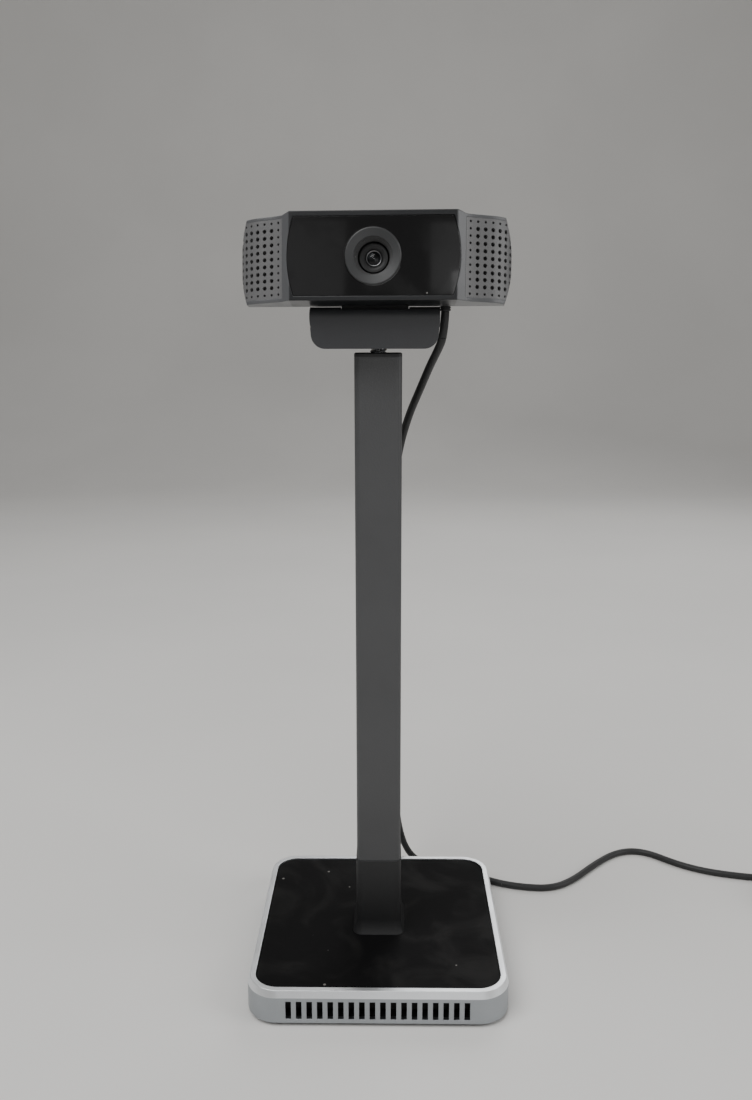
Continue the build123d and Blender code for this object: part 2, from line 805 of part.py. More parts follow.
with BuildPart() as cloth_band:
    add(wing_skin.part)
    add(grille_band.part, mode=Mode.SUBTRACT)


def panel_face(grow=0.0):
    """The face panel's outline, across and up, grown by a clearance all round."""
    with BuildSketch() as outline:
        with BuildLine():
            side_x = panel_half_width - panel_bow + grow
            top = panel_top + grow
            bottom = panel_bottom - grow
            Line((-side_x, bottom), (side_x, bottom))
            ThreePointArc((side_x, bottom), (panel_half_width + grow, lens_z), (side_x, top))
            Line((side_x, top), (-side_x, top))
            ThreePointArc((-side_x, top), (-panel_half_width - grow, lens_z), (-side_x, bottom))
        make_face()
    return outline.sketch


def holes_along_y(radius, spots, start, length):
    """Round bars along the head's depth, for holes, bosses and pipes, at spots given across and up."""
    with BuildPart() as bars:
        with BuildSketch(Plane.XZ.offset(-start)):
            with Locations(*spots):
                Circle(radius)
        extrude(amount=-length)
    return bars.part


board_spots = [
    (x, lens_z + z) for x in (-board_screw_x, board_screw_x) for z in (-board_screw_z, board_screw_z)
]
pipe_spots = [(-pipe_x, lens_z), (pipe_x, lens_z)]
mic_spots = [(-mic_x, lens_z), (mic_x, lens_z)]
panel_outline = panel_face()
panel_outline_grown = panel_face(panel_gap)
boot_in_head = head_pose.inverse() * clip_pose * Location((boot_x, boot_y, cap_top + boot_tip_up))

with BuildPart() as front_frame:
    add(head_form)
    with Locations((0, head_split, 0)):
        Box(
            2 * side_reach,
            depth_reach,
            3 * head_top,
            align=(Align.CENTER, Align.MAX, Align.CENTER),
            mode=Mode.INTERSECT,
        )
    add(head_cavity.part, mode=Mode.SUBTRACT)
    add(wing_skin.part, mode=Mode.SUBTRACT)
    with BuildSketch(Plane.XZ.offset(-panel_back)):
        add(panel_outline_grown)
    extrude(amount=panel_t + panel_set_back + 1, mode=Mode.SUBTRACT)
    add(
        holes_along_y(lens_ring_r + fit_gap, [(0, lens_z)], panel_front, front_wall + panel_t),
        mode=Mode.SUBTRACT,
    )
    add(holes_along_y(pipe_r + fit_gap, pipe_spots, panel_back, front_wall), mode=Mode.SUBTRACT)
    add(holes_along_y(boss_r, board_spots, wall_back - boss_root, board_y - wall_back + boss_root))
    add(
        holes_along_y(
            screw_d / 2 + thread_gap, board_spots, board_y - screw_hole_depth, screw_hole_depth
        ),
        mode=Mode.SUBTRACT,
    )
    add(holes_along_y(mic_hole_r, mic_spots, -head_front, head_front + head_split), mode=Mode.SUBTRACT)
    Box(
        barrel_length + 2 * fit_gap,
        neck_t + 2 * fit_gap,
        2 * (floor_inside + neck_rise),
        mode=Mode.SUBTRACT,
    )
front_frame.part.locate(head_pose)
front_frame.part.label = "front_frame"
export_step(front_frame.part, "parts/front_frame.step")

with BuildPart() as rear_cover:
    add(head_form)
    with Locations((0, head_split, 0)):
        Box(
            2 * side_reach,
            depth_reach,
            3 * head_top,
            align=(Align.CENTER, Align.MIN, Align.CENTER),
            mode=Mode.INTERSECT,
        )
    add(head_cavity.part, mode=Mode.SUBTRACT)
    with Locations(boot_in_head):
        Cylinder(
            boot_r + fit_gap,
            boot_top_up - boot_tip_up + 1,
            align=(Align.CENTER, Align.CENTER, Align.MIN),
            mode=Mode.SUBTRACT,
        )
    add(rear_cover.part.solids().sort_by(SortBy.VOLUME)[-1], mode=Mode.INTERSECT)
rear_cover.part.locate(head_pose)
rear_cover.part.label = "rear_cover"
export_step(rear_cover.part, "parts/rear_cover.step")

with BuildPart() as face_panel:
    with BuildSketch(Plane.XZ.offset(-panel_front)):
        add(panel_outline)
    extrude(amount=-panel_t)
    add(holes_along_y(lens_ring_r + fit_gap, [(0, lens_z)], panel_front, panel_t), mode=Mode.SUBTRACT)
face_panel.part.locate(head_pose)
face_panel.part.label = "face_panel"
export_step(face_panel.part, "parts/face_panel.step")

# grilles: the band of each wing, with rows of holes square to its surface, smaller round its border
row_middle = (head_bottom + grille_bottom + wing_top - grille_top) / 2
for side, name in ((-1, "grille_right"), (1, "grille_left")):
    with BuildPart() as grille:
        add(grille_band.part)
        with Locations((side * wing_end_x / 2, 0, head_middle)):
            Box(wing_end_x, 4 * head_front, 2 * head_height, mode=Mode.INTERSECT)
        for column in range(hole_columns):
            u = hole_first + (hole_last - hole_first) * column / (hole_columns - 1)
            x, y = wing_spot(u)
            along = wing_curve % u
            hole_plane = Plane(
                origin=(side * x, y, row_middle),
                x_dir=(side * along.X, along.Y, 0),
                z_dir=(side * along.Y, -along.X, 0),
            )
            with BuildSketch(hole_plane):
                for row in range(hole_rows):
                    at_border = row in (0, hole_rows - 1) or column in (0, hole_columns - 1)
                    with Locations((0, (row - (hole_rows - 1) / 2) * hole_pitch)):
                        Circle((border_hole_d if at_border else hole_d) / 2)
            extrude(amount=2 * grille_t, both=True, mode=Mode.SUBTRACT)
    grille.part.locate(head_pose)
    grille.part.label = name
    export_step(grille.part, f"parts/{name}.step")

for side, name in ((-1, "cloth_right"), (1, "cloth_left")):
    with BuildPart() as cloth:
        add(cloth_band.part)
        with Locations((side * wing_end_x / 2, 0, head_middle)):
            Box(wing_end_x, 4 * head_front, 2 * head_height, mode=Mode.INTERSECT)
    cloth.part.locate(head_pose)
    cloth.part.label = name
    export_step(cloth.part, f"parts/{name}.step")

# lens stack, turned about the lens axis
with BuildPart() as lens_ring:
    with BuildSketch(lens_plane):
        with BuildLine():
            Polyline(
                (lens_ring_r, panel_front),
                (lens_ring_r - ring_edge, panel_front - ring_rise),
                (lens_ring_bore_r, panel_front + ring_rise),
                (lens_ring_bore_r, wall_back),
                (lens_ring_r, wall_back),
                close=True,
            )
        make_face()
    revolve(axis=lens_axis)
lens_ring.part.locate(head_pose)
lens_ring.part.label = "lens_ring"
export_step(lens_ring.part, "parts/lens_ring.step")

with BuildPart() as lens_cone:
    with BuildSketch(lens_plane):
        with BuildLine():
            Polyline(
                (lens_ring_bore_r, panel_front + cone_set_back),
                (lens_ring_bore_r - cone_rim, panel_front + cone_set_back),
                (lens_cone_end_r, wall_back),
                (lens_ring_bore_r, wall_back),
                close=True,
            )
        make_face()
    revolve(axis=lens_axis)
lens_cone.part.locate(head_pose)
lens_cone.part.label = "lens_cone"
export_step(lens_cone.part, "parts/lens_cone.step")

barrel_end = lens_barrel_front + lens_barrel_length
with BuildPart() as lens_barrel:
    with BuildSketch(lens_plane):
        with BuildLine():
            Polyline(
                (front_glass_r, lens_barrel_front + barrel_dish),
                (front_glass_r + barrel_step, lens_barrel_front + barrel_step),
                (lens_barrel_r - barrel_rim, lens_barrel_front),
                (lens_barrel_r - barrel_edge, lens_barrel_front),
                (lens_barrel_r, lens_barrel_front + barrel_edge),
                (lens_barrel_r, barrel_end),
                (front_glass_r, barrel_end),
                close=True,
            )
        make_face()
    revolve(axis=lens_axis)
lens_barrel.part.locate(head_pose)
lens_barrel.part.label = "lens_barrel"
export_step(lens_barrel.part, "parts/lens_barrel.step")

for name, face, bulge, thickness in (
    ("front_glass", lens_barrel_front + front_glass_in, front_glass_bulge, front_glass_t),
    ("rear_glass", lens_barrel_front + rear_glass_in, rear_glass_bulge, rear_glass_t),
):
    dome_r = (front_glass_r**2 + bulge**2) / (2 * bulge)
    dome_middle = face - bulge + dome_r - sqrt(dome_r**2 - front_glass_r**2 / 4)
    with BuildPart() as glass:
        with BuildSketch(lens_plane):
            with BuildLine():
                Polyline(
                    (0, face - bulge),
                    (0, face + thickness),
                    (front_glass_r, face + thickness),
                    (front_glass_r, face),
                )
                ThreePointArc((front_glass_r, face), (front_glass_r / 2, dome_middle), (0, face - bulge))
            make_face()
        revolve(axis=lens_axis)
    glass.part.locate(head_pose)
    glass.part.label = name
    export_step(glass.part, f"parts/{name}.step")

holder_front = wall_back + holder_set_back
with BuildPart() as lens_holder:
    with BuildSketch(Plane.XZ.offset(-holder_front)):
        with Locations((0, lens_z)):
            RectangleRounded(holder_side, holder_side, holder_corner_r)
            Circle(lens_barrel_r + pin_gap, mode=Mode.SUBTRACT)
    extrude(amount=-(board_y - holder_front))
lens_holder.part.locate(head_pose)
lens_holder.part.label = "lens_holder"
export_step(lens_holder.part, "parts/lens_holder.step")

with BuildPart() as image_sensor:
    with Locations((0, board_y - sensor_t / 2, lens_z)):
        Box(sensor_width, sensor_t, sensor_height)
image_sensor.part.locate(head_pose)
image_sensor.part.label = "image_sensor"
export_step(image_sensor.part, "parts/image_sensor.step")

with BuildPart() as main_board:
    with BuildSketch(Plane.XZ.offset(-board_y)):
        with Locations((0, lens_z)):
            RectangleRounded(board_width, board_height, board_corner_r)
    extrude(amount=-board_t)
    add(holes_along_y(screw_d / 2 + fit_gap, board_spots, board_y, board_t), mode=Mode.SUBTRACT)
    board_back = board_y + board_t
    chip_y = board_back + chip_t / 2
    with Locations((second_chip_x, chip_y, lens_z), (chip_x, chip_y, lens_z + chip_up)):
        Box(chip_side, chip_t, chip_side)
    with Locations((socket_x, board_back + socket_t / 2, lens_z - socket_down)):
        Box(socket_width, socket_t, socket_height)
main_board.part.locate(head_pose)
main_board.part.label = "main_board"
export_step(main_board.part, "parts/main_board.step")

with BuildPart() as board_screws:
    add(holes_along_y(screw_d / 2, board_spots, board_y - screw_length, screw_length + board_t))
    add(holes_along_y(screw_head_d / 2, board_spots, board_y + board_t, screw_head_t))
board_screws.part.locate(head_pose)
board_screws.part.label = "board_screws"
export_step(board_screws.part, "parts/board_screws.step")

with BuildPart() as light_pipes:
    add(holes_along_y(pipe_r, pipe_spots, panel_back, board_y - panel_back))
light_pipes.part.locate(head_pose)
light_pipes.part.label = "light_pipes"
export_step(light_pipes.part, "parts/light_pipes.step")

with BuildPart() as microphones:
    add(holes_along_y(mic_r, mic_spots, wing_root_y + mic_in, mic_t))
microphones.part.locate(head_pose)
microphones.part.label = "microphones"
export_step(microphones.part, "parts/microphones.step")

# the hinge bracket's barrel turns on the tilt pin; its flange is screwed inside the head's floor
with BuildPart() as hinge_bracket:
    with BuildSketch(across_x(0, 0)):
        Circle(barrel_r)
    extrude(amount=barrel_length / 2, both=True)
    with BuildSketch(across_x(0, 0)):
        with Locations((0, (floor_inside + neck_rise) / 2)):
            Rectangle(neck_t, floor_inside + neck_rise)
    extrude(amount=barrel_length / 2, both=True)
    with BuildSketch(Plane.XY.offset(floor_inside)):
        with Locations((0, -bracket_flange / 2)):
            Rectangle(barrel_length, bracket_flange)
    extrude(amount=flange_t)
    with BuildSketch(across_x(0, 0)):
        Circle(tilt_pin_d / 2 + pin_gap)
    extrude(amount=barrel_length, both=True, mode=Mode.SUBTRACT)
hinge_bracket.part.locate(head_pose)
hinge_bracket.part.label = "hinge_bracket"
export_step(hinge_bracket.part, "parts/hinge_bracket.step")

# ================================================================ USB lead
boot_top = cap_top + boot_top_up
boot_tip = cap_top + boot_tip_up
with BuildPart() as cable_boot:
    with Locations((boot_x, boot_y, boot_tip)):
        Cone(
            boot_tip_r,
            boot_r,
            boot_top - boot_tip,
            align=(Align.CENTER, Align.CENTER, Align.MIN),
        )
cable_boot.part.locate(clip_pose)
cable_boot.part.label = "cable_boot"
export_step(cable_boot.part, "parts/cable_boot.step")

# the lead's route: from the boot, down behind the post, and along the surface to the coil
cord_r = cord_d / 2
lead_start = clip_pose * Location((boot_x, boot_y, boot_tip))
lead_end = (23.6, -9.6, 251.0)
hanging_route = [
    (21.5, -4.1, 245.6),
    (19.2, 1.0, 240.6),
    (15.9, 7.6, 232.0),
    (11.3, 15.4, 220.5),
    (7.4, 19.6, 205.5),
    (4.2, 23.6, 180.0),
    (2.6, 31.0, 136.0),
    (4.0, 41.0, 88.0),
    (6.4, 50.0, 47.0),
    (9.4, 56.2, 20.5),
    (15.6, 60.2, 6.5),
    (27.0, 61.0, cord_r),
]
floor_route = [
    (40.0, 57.4, cord_r),
    (52.5, 48.8, cord_r),
    (66.0, 44.2, cord_r),
    (80.0, 43.4, cord_r),
    (91.0, 50.6, cord_r),
    (103.2, 64.2, cord_r),
    (114.6, 74.6, cord_r),
    (124.2, 78.4, cord_r),
    (133.2, 76.0, cord_r),
    (143.2, 66.4, cord_r),
    (154.0, 59.8, cord_r),
    (166.0, 56.0, cord_r),
    (179.0, 53.4, cord_r),
    (192.0, 52.7, cord_r),
]
tail_route = [
    (219.2, 25.4, 4.7),
    (222.9, 16.4, 2.9),
    (224.5, 7.6, 3.2),
    (plug_x, plug_boot_y, plug_z),
]


def corner_radii(points):
    """Each corner's radius: 0.45 of its shorter run over the tangent of half the turn."""
    spots = [Vector(*point) for point in points]
    radii = []
    for before, here, after in zip(spots, spots[1:], spots[2:]):
        turn = radians((here - before).get_angle(after - here))
        radii.append(0.45 * min((here - before).length, (after - here).length) / tan(turn / 2))
    return radii


def cord_tube(points):
    """A round cord along straight runs joined by the largest tangent arcs."""
    path = FilletPolyline(*points, radius=corner_radii(points))
    with BuildPart() as tube:
        with BuildSketch(Plane(origin=points[0], z_dir=path % 0)):
            Circle(cord_r)
        sweep(path=path, is_frenet=False)
    radii = corner_radii(points)
    ideal = cord_r * cord_r * pi * path.length
    print("cord radii", [round(r, 1) for r in radii], "length", round(path.length, 1))
    print("volume over section times length", round(tube.part.volume / ideal, 4))
    return tube.part


with BuildPart() as cord_lead:
    first = lead_start.position
    second = Vector(*lead_end)
    with BuildSketch(Plane(origin=first, z_dir=second - first)):
        Circle(cord_r)
    extrude(amount=(second - first).length)
cord_lead.part.label = "cord_lead"
export_step(cord_lead.part, "parts/cord_lead.step")

run_tube = cord_tube(hanging_route + floor_route)
with BuildPart() as cord_run:
    add(run_tube)
cord_run.part.label = "cord_run"
export_step(cord_run.part, "parts/cord_run.step")

tail_tube = cord_tube(tail_route)
with BuildPart() as cord_tail:
    add(tail_tube)
cord_tail.part.label = "cord_tail"
export_step(cord_tail.part, "parts/cord_tail.step")

coil_section = [
    (coil_inner_r, 0),
    (coil_outer_r, 0),
    (coil_outer_r, coil_side_h),
    (coil_outer_r - coil_slope, coil_height),
    (coil_inner_r + coil_slope, coil_height),
    (coil_inner_r, coil_side_h),
]
with BuildPart() as cord_coil:
    with BuildSketch(Plane(origin=(coil_x, coil_y, 0), x_dir=(1, 0, 0), z_dir=(0, -1, 0))):
        with BuildLine():
            Polyline(*coil_section, close=True)
        make_face()
    revolve(axis=Axis((coil_x, coil_y, 0), (0, 0, 1)))
cord_coil.part.label = "cord_coil"
export_step(cord_coil.part, "parts/cord_coil.step")

# the tie is a strap over the coil at its near side, with its ends down to the surface
strap_under = [
    (coil_inner_r - tie_gap, 0),
    (coil_inner_r - tie_gap, coil_side_h),
    (coil_inner_r + coil_slope - tie_gap, coil_height + fit_gap),
    (coil_outer_r - coil_slope + tie_gap, coil_height + fit_gap),
    (coil_outer_r + tie_gap, coil_side_h),
    (coil_outer_r + tie_gap, 0),
]
strap_over = [
    (coil_inner_r - tie_gap - tie_t, 0),
    (coil_inner_r - tie_gap - tie_t, coil_side_h + tie_t / 2),
    (coil_inner_r + coil_slope - tie_gap - tie_t / 2, coil_height + fit_gap + tie_t),
    (coil_outer_r - coil_slope + tie_gap + tie_t / 2, coil_height + fit_gap + tie_t),
    (coil_outer_r + tie_gap + tie_t, coil_side_h + tie_t / 2),
    (coil_outer_r + tie_gap + tie_t, 0),
]
with BuildPart() as cord_tie:
    with BuildSketch(Plane(origin=(coil_x, coil_y, 0), x_dir=(0, 1, 0), z_dir=(1, 0, 0))):
        with BuildLine():
            Polyline(*[(-reach, level) for reach, level in strap_over + strap_under[::-1]], close=True)
        make_face()
    extrude(amount=tie_width / 2, both=True)
cord_tie.part.label = "cord_tie"
export_step(cord_tie.part, "parts/cord_tie.step")

grip_back = plug_boot_y - plug_boot_length
grip_front = grip_back - grip_length
with BuildPart() as plug_grip:
    with BuildSketch(Plane.XZ.offset(-plug_boot_y)):
        with Locations((plug_x, plug_z)):
            Circle(cord_r + plug_tip_wall)
    with BuildSketch(Plane.XZ.offset(-grip_back)):
        with Locations((plug_x, plug_z)):
            Circle(cord_r + plug_root_wall)
    loft()
    with BuildSketch(Plane.XZ.offset(-grip_back)):
        with Locations((plug_x, plug_z)):
            RectangleRounded(grip_width, grip_t, grip_corner_r)
    extrude(amount=grip_length)
    fillet(plug_grip.faces().sort_by(Axis.Y)[-2].outer_wire().edges(), grip_edge_r)
    with BuildSketch(Plane.XZ.offset(-grip_front)):
        with Locations((plug_x, plug_z)):
            Rectangle(usb_width + fit_gap, usb_t + fit_gap)
    extrude(amount=-usb_depth, mode=Mode.SUBTRACT)
plug_grip.part.label = "plug_grip"
export_step(plug_grip.part, "parts/plug_grip.step")

with BuildPart() as plug_shell:
    with BuildSketch(Plane.XZ.offset(-grip_front - usb_depth)):
        with Locations((plug_x, plug_z)):
            RectangleRounded(usb_width, usb_t, usb_corner_r)
            RectangleRounded(
                usb_width - 2 * usb_wall, usb_t - 2 * usb_wall, usb_inner_r, mode=Mode.SUBTRACT
            )
    extrude(amount=usb_length + usb_depth)
    with BuildSketch(Plane.XY.offset(plug_z)):
        with Locations((plug_x, grip_front - window_in)):
            with GridLocations(2 * window_x, 1, 2, 1):
                Rectangle(window_width, window_length)
    extrude(amount=usb_t, both=True, mode=Mode.SUBTRACT)
plug_shell.part.label = "plug_shell"
export_step(plug_shell.part, "parts/plug_shell.step")

tongue_bottom = plug_z - usb_t / 2 + usb_wall + tongue_rise
with BuildPart() as plug_tongue:
    with Locations((plug_x, grip_front + tongue_in, tongue_bottom)):
        Box(
            usb_width - 2 * (usb_wall + tongue_side_gap),
            tongue_length,
            tongue_t,
            align=(Align.CENTER, Align.MAX, Align.MIN),
        )
plug_tongue.part.label = "plug_tongue"
export_step(plug_tongue.part, "parts/plug_tongue.step")

with BuildPart() as plug_contacts:
    with Locations((plug_x, grip_front - contact_in, tongue_bottom + tongue_t)):
        with GridLocations(contact_pitch, 1, 4, 1):
            Box(
                contact_width,
                contact_length,
                contact_t,
                align=(Align.CENTER, Align.CENTER, Align.MIN),
            )
plug_contacts.part.label = "plug_contacts"
export_step(plug_contacts.part, "parts/plug_contacts.step")
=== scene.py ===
"""Desk webcam on a weighted post stand: finishes, USB lead, small fittings, camera and studio stage.

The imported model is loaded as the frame. Its own parts keep their shapes and get finishes here. The lead, its
boot and strap, the stud's thread and the lens's inner rings are made as new pieces. Lengths are in metres.
"""

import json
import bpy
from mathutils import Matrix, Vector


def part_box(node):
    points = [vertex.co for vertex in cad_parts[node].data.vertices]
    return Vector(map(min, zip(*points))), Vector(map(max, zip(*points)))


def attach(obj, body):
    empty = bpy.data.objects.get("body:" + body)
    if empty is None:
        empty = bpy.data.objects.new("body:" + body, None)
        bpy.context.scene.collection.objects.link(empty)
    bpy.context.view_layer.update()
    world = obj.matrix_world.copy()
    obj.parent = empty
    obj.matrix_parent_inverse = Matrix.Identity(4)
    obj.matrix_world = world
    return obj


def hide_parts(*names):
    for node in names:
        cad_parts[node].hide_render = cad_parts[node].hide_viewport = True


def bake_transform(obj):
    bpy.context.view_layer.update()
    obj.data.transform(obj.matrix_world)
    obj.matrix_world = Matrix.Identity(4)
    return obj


bl_info = {
    "name": "Desk Webcam Stand",
    "version": (1, 0, 0),
    "blender": (4, 5, 0),
    "location": "3D View > Sidebar > Webcam Stand",
    "description": "Builds the finishes, lead and fittings of a webcam on a post stand, and its stage",
    "category": "Object",
}

from math import ceil, cos, pi, radians, sin

import bmesh
import bpy
from bpy.props import FloatProperty, FloatVectorProperty, IntProperty, PointerProperty
from mathutils import Euler, Matrix, Vector

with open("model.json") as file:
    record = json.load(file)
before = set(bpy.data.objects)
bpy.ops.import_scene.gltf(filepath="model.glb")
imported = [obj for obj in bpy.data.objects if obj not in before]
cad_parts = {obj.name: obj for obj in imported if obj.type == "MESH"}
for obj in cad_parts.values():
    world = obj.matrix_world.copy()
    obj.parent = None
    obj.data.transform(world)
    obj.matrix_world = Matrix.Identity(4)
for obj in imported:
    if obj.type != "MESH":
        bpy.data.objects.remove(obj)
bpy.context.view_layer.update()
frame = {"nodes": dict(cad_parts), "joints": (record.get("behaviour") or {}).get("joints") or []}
TILT_AXIS = next(joint for joint in frame["joints"] if joint["name"] == "head_tilt")["pos_m"]


# ---------------------------------------------------------------- the user's sizes and colours
def colour(name, value, description):
    """A colour property with its usual limits."""
    return FloatVectorProperty(
        name=name, description=description, default=value, size=3, subtype="COLOR", min=0.0, max=1.0
    )


def length(name, value, description):
    """A length property in metres."""
    return FloatProperty(name=name, description=description, default=value, unit="LENGTH", precision=5)


def power(name, value, description):
    """A light's power in watts."""
    return FloatProperty(name=name, description=description, default=value, unit="POWER")


def count(name, value, least, description):
    """A whole number with its least value."""
    return IntProperty(name=name, description=description, default=value, min=least)


def angle(name, value, description):
    """An angle property, given in degrees."""
    return FloatProperty(name=name, description=description, default=radians(value), subtype="ANGLE")


class StageSettings(bpy.types.PropertyGroup):
    """Camera, lights and floor."""

    camera_place: FloatVectorProperty(
        name="Camera place",
        description="Where the camera stands",
        default=(0.0040, -0.3650, 0.2464),
        size=3,
        subtype="TRANSLATION",
        unit="LENGTH",
    )
    camera_pitch: angle("Camera pitch", 11.72, "How far the camera looks down")
    camera_yaw: angle("Camera yaw", 0.77, "How far the camera turns to its left")
    camera_roll: angle("Camera roll", 0.09, "How far the camera leans over")
    focal_length: FloatProperty(name="Lens", description="Focal length in millimetres", default=31.64)
    floor_colour: colour("Floor", (0.72, 0.71, 0.69), "Colour of the floor and the backdrop")
    backdrop_distance: length("Backdrop distance", 1.3, "How far behind the object the floor curves up")
    key_power: power("Key light", 17.0, "Power of the main light")
    fill_power: power("Fill light", 7.0, "Power of the side light")
    front_power: power("Front light", 1.9, "Power of the front light")
    card_power: power("Cards", 0.030, "Power of the dim cards in front")
    sky_strength: FloatProperty(name="Sky", description="Strength of the even light all round", default=0.17)


class LeadSettings(bpy.types.PropertyGroup):
    """The USB lead and its coil."""

    diameter: length("Diameter", 0.0030, "Diameter of the lead's sheath")
    whole_length: length("Length", 1.50, "Length of the lead from the boot's tip to the plug's boot")
    coil_x: length("Coil X", 0.1990, "Middle of the coil, across")
    coil_y: length("Coil Y", 0.0315, "Middle of the coil, backwards")
    coil_outer: length("Coil radius", 0.0213, "Radius of the coil's outermost turn")
    steps: count("Points a turn", 24, 12, "Route points in each turn of the coil")
    sides: count("Sides", 18, 8, "Sides of the sheath's round section")
    sheath: colour("Sheath", (0.0115, 0.0118, 0.0122), "Colour of the lead's sheath")
    strap: colour("Strap", (0.018, 0.018, 0.020), "Colour of the strap round the coil")


class FittingSettings(bpy.types.PropertyGroup):
    """Thread, boot ribs and lens rings."""

    thread_pitch: length("Thread pitch", 0.00127, "Pitch of the stud's thread")
    thread_depth: length("Thread depth", 0.00062, "Depth of the stud's thread")
    boot_ribs: count("Boot ribs", 4, 2, "Ribs round the lead's boot")
    pan_rest: angle("Clip turn", -3.3, "How far the clip is turned on the post")
    tilt_rest: angle("Camera tilt", 7.0, "How far the camera looks up")
    lens_height: length("Lens height", 0.01862, "Height of the lens over the tilt pin")
    cone_steps: count("Cone steps", 7, 3, "Baffle steps in the lens's cone")


class FinishSettings(bpy.types.PropertyGroup):
    """Colours of the main finishes."""

    aluminium: colour("Aluminium", (0.37, 0.39, 0.41), "Blasted and anodised sides of the base")
    # Painted highlight: the brighter colour of the base's bevel and top edge stands in for light falling from
    # above.
    painted_bevel_highlight: colour("Painted bevel highlight", (0.86, 0.88, 0.90), "Brighter bevel and edge of the base")
    plate: colour("Plate", (0.0042, 0.0042, 0.0044), "Soft black plate on top of the base")
    post: colour("Post", (0.050, 0.051, 0.053), "Powder coat of the post")
    collar: colour("Collar", (0.0105, 0.0108, 0.0113), "Foot collar and cap of the post")
    clip: colour("Clip", (0.032, 0.033, 0.036), "Moulded clip under the camera")
    strip: colour("Strip", (0.0075, 0.008, 0.0088), "Darker strips over and under the front panel")
    bezel: colour("Frame", (0.080, 0.082, 0.086), "Moulded frame round the front panel")
    grille: colour("Grille", (0.118, 0.118, 0.120), "Perforated wings")
    panel: colour("Panel", (0.0035, 0.0035, 0.0038), "Gloss front panel")
    ring: colour("Lens ring", (0.028, 0.029, 0.030), "Ring round the lens")


# ---------------------------------------------------------------- shader tools
def place_node(tree, kind, settings=None, **sockets):
    """A new node with its settings; each socket takes a value, or a link from another node's output."""
    node = tree.nodes.new(kind)
    for key, value in (settings or {}).items():
        setattr(node, key, value)
    for key, value in sockets.items():
        target = node.inputs[int(key[1:])] if key[0] == "_" else node.inputs[key.replace("_", " ")]
        if isinstance(value, bpy.types.NodeSocket):
            tree.links.new(value, target)
        else:
            target.default_value = value
    return node


def calc(tree, operation, first, second=0.0, clamp=False):
    """The result of one sum between two values."""
    settings = {"operation": operation, "use_clamp": clamp}
    return place_node(tree, "ShaderNodeMath", settings, _0=first, _1=second).outputs[0]


def blend_colours(tree, amount, first, second, way="MIX"):
    """Two colours mixed by an amount."""
    settings = {"data_type": "RGBA", "blend_type": way, "clamp_factor": True}
    mixer = place_node(tree, "ShaderNodeMix", settings, _0=amount, _6=first, _7=second)
    return mixer.outputs[2]


def opaque(rgb, scale=1.0):
    """A colour with its alpha, scaled."""
    return (rgb[0] * scale, rgb[1] * scale, rgb[2] * scale, 1.0)


def map_range(tree, value, low, high, to_low=0.0, to_high=1.0):
    """A value carried from one range to another, held at its ends."""
    settings = {"interpolation_type": "SMOOTHSTEP"}
    return place_node(
        tree, "ShaderNodeMapRange", settings, _0=value, _1=low, _2=high, _3=to_low, _4=to_high
    ).outputs[0]


def new_group(name, inputs, outputs):
    """An empty shader group with named inputs, each with its default, and named outputs."""
    tree = bpy.data.node_groups.new(name, "ShaderNodeTree")
    for label, value in inputs:
        tree.interface.new_socket(label, in_out="INPUT", socket_type="NodeSocketFloat").default_value = value
    for label in outputs:
        tree.interface.new_socket(label, in_out="OUTPUT", socket_type="NodeSocketFloat")
    entry = tree.nodes.new("NodeGroupInput")
    leave = tree.nodes.new("NodeGroupOutput")
    place = tree.nodes.new("ShaderNodeTexCoord").outputs["Object"]
    return tree, entry.outputs, leave.inputs, place


def grain_group():
    """Fine moulded or powder-coat grain, with slow drifts of tone. Scales are features to a metre."""
    inputs = [("Scale", 2600.0), ("Drift Scale", 24.0), ("Streak", 1.0)]
    tree, given, out, place = new_group("Fine Grain", inputs, ("Height", "Tone", "Drift"))
    stretch = place_node(tree, "ShaderNodeCombineXYZ", X=1.0, Y=1.0, Z=given["Streak"]).outputs[0]
    streaked = place_node(tree, "ShaderNodeVectorMath", {"operation": "MULTIPLY"}, _0=place, _1=stretch)
    moved = streaked.outputs[0]
    fine = place_node(
        tree, "ShaderNodeTexNoise", Vector=moved, Scale=given["Scale"], Detail=3.0, Roughness=0.62
    )
    pits = place_node(
        tree,
        "ShaderNodeTexVoronoi",
        {"feature": "SMOOTH_F1"},
        Vector=moved,
        Scale=calc(tree, "MULTIPLY", given["Scale"], 0.55),
    )
    height = calc(tree, "ADD", calc(tree, "MULTIPLY", fine.outputs[0], 0.7), pits.outputs["Distance"])
    slow = place_node(tree, "ShaderNodeTexNoise", Vector=place, Scale=given["Drift Scale"], Detail=4.0)
    tree.links.new(height, out["Height"])
    tree.links.new(map_range(tree, fine.outputs[0], 0.3, 0.7), out["Tone"])
    tree.links.new(map_range(tree, slow.outputs[0], 0.32, 0.68), out["Drift"])
    return tree


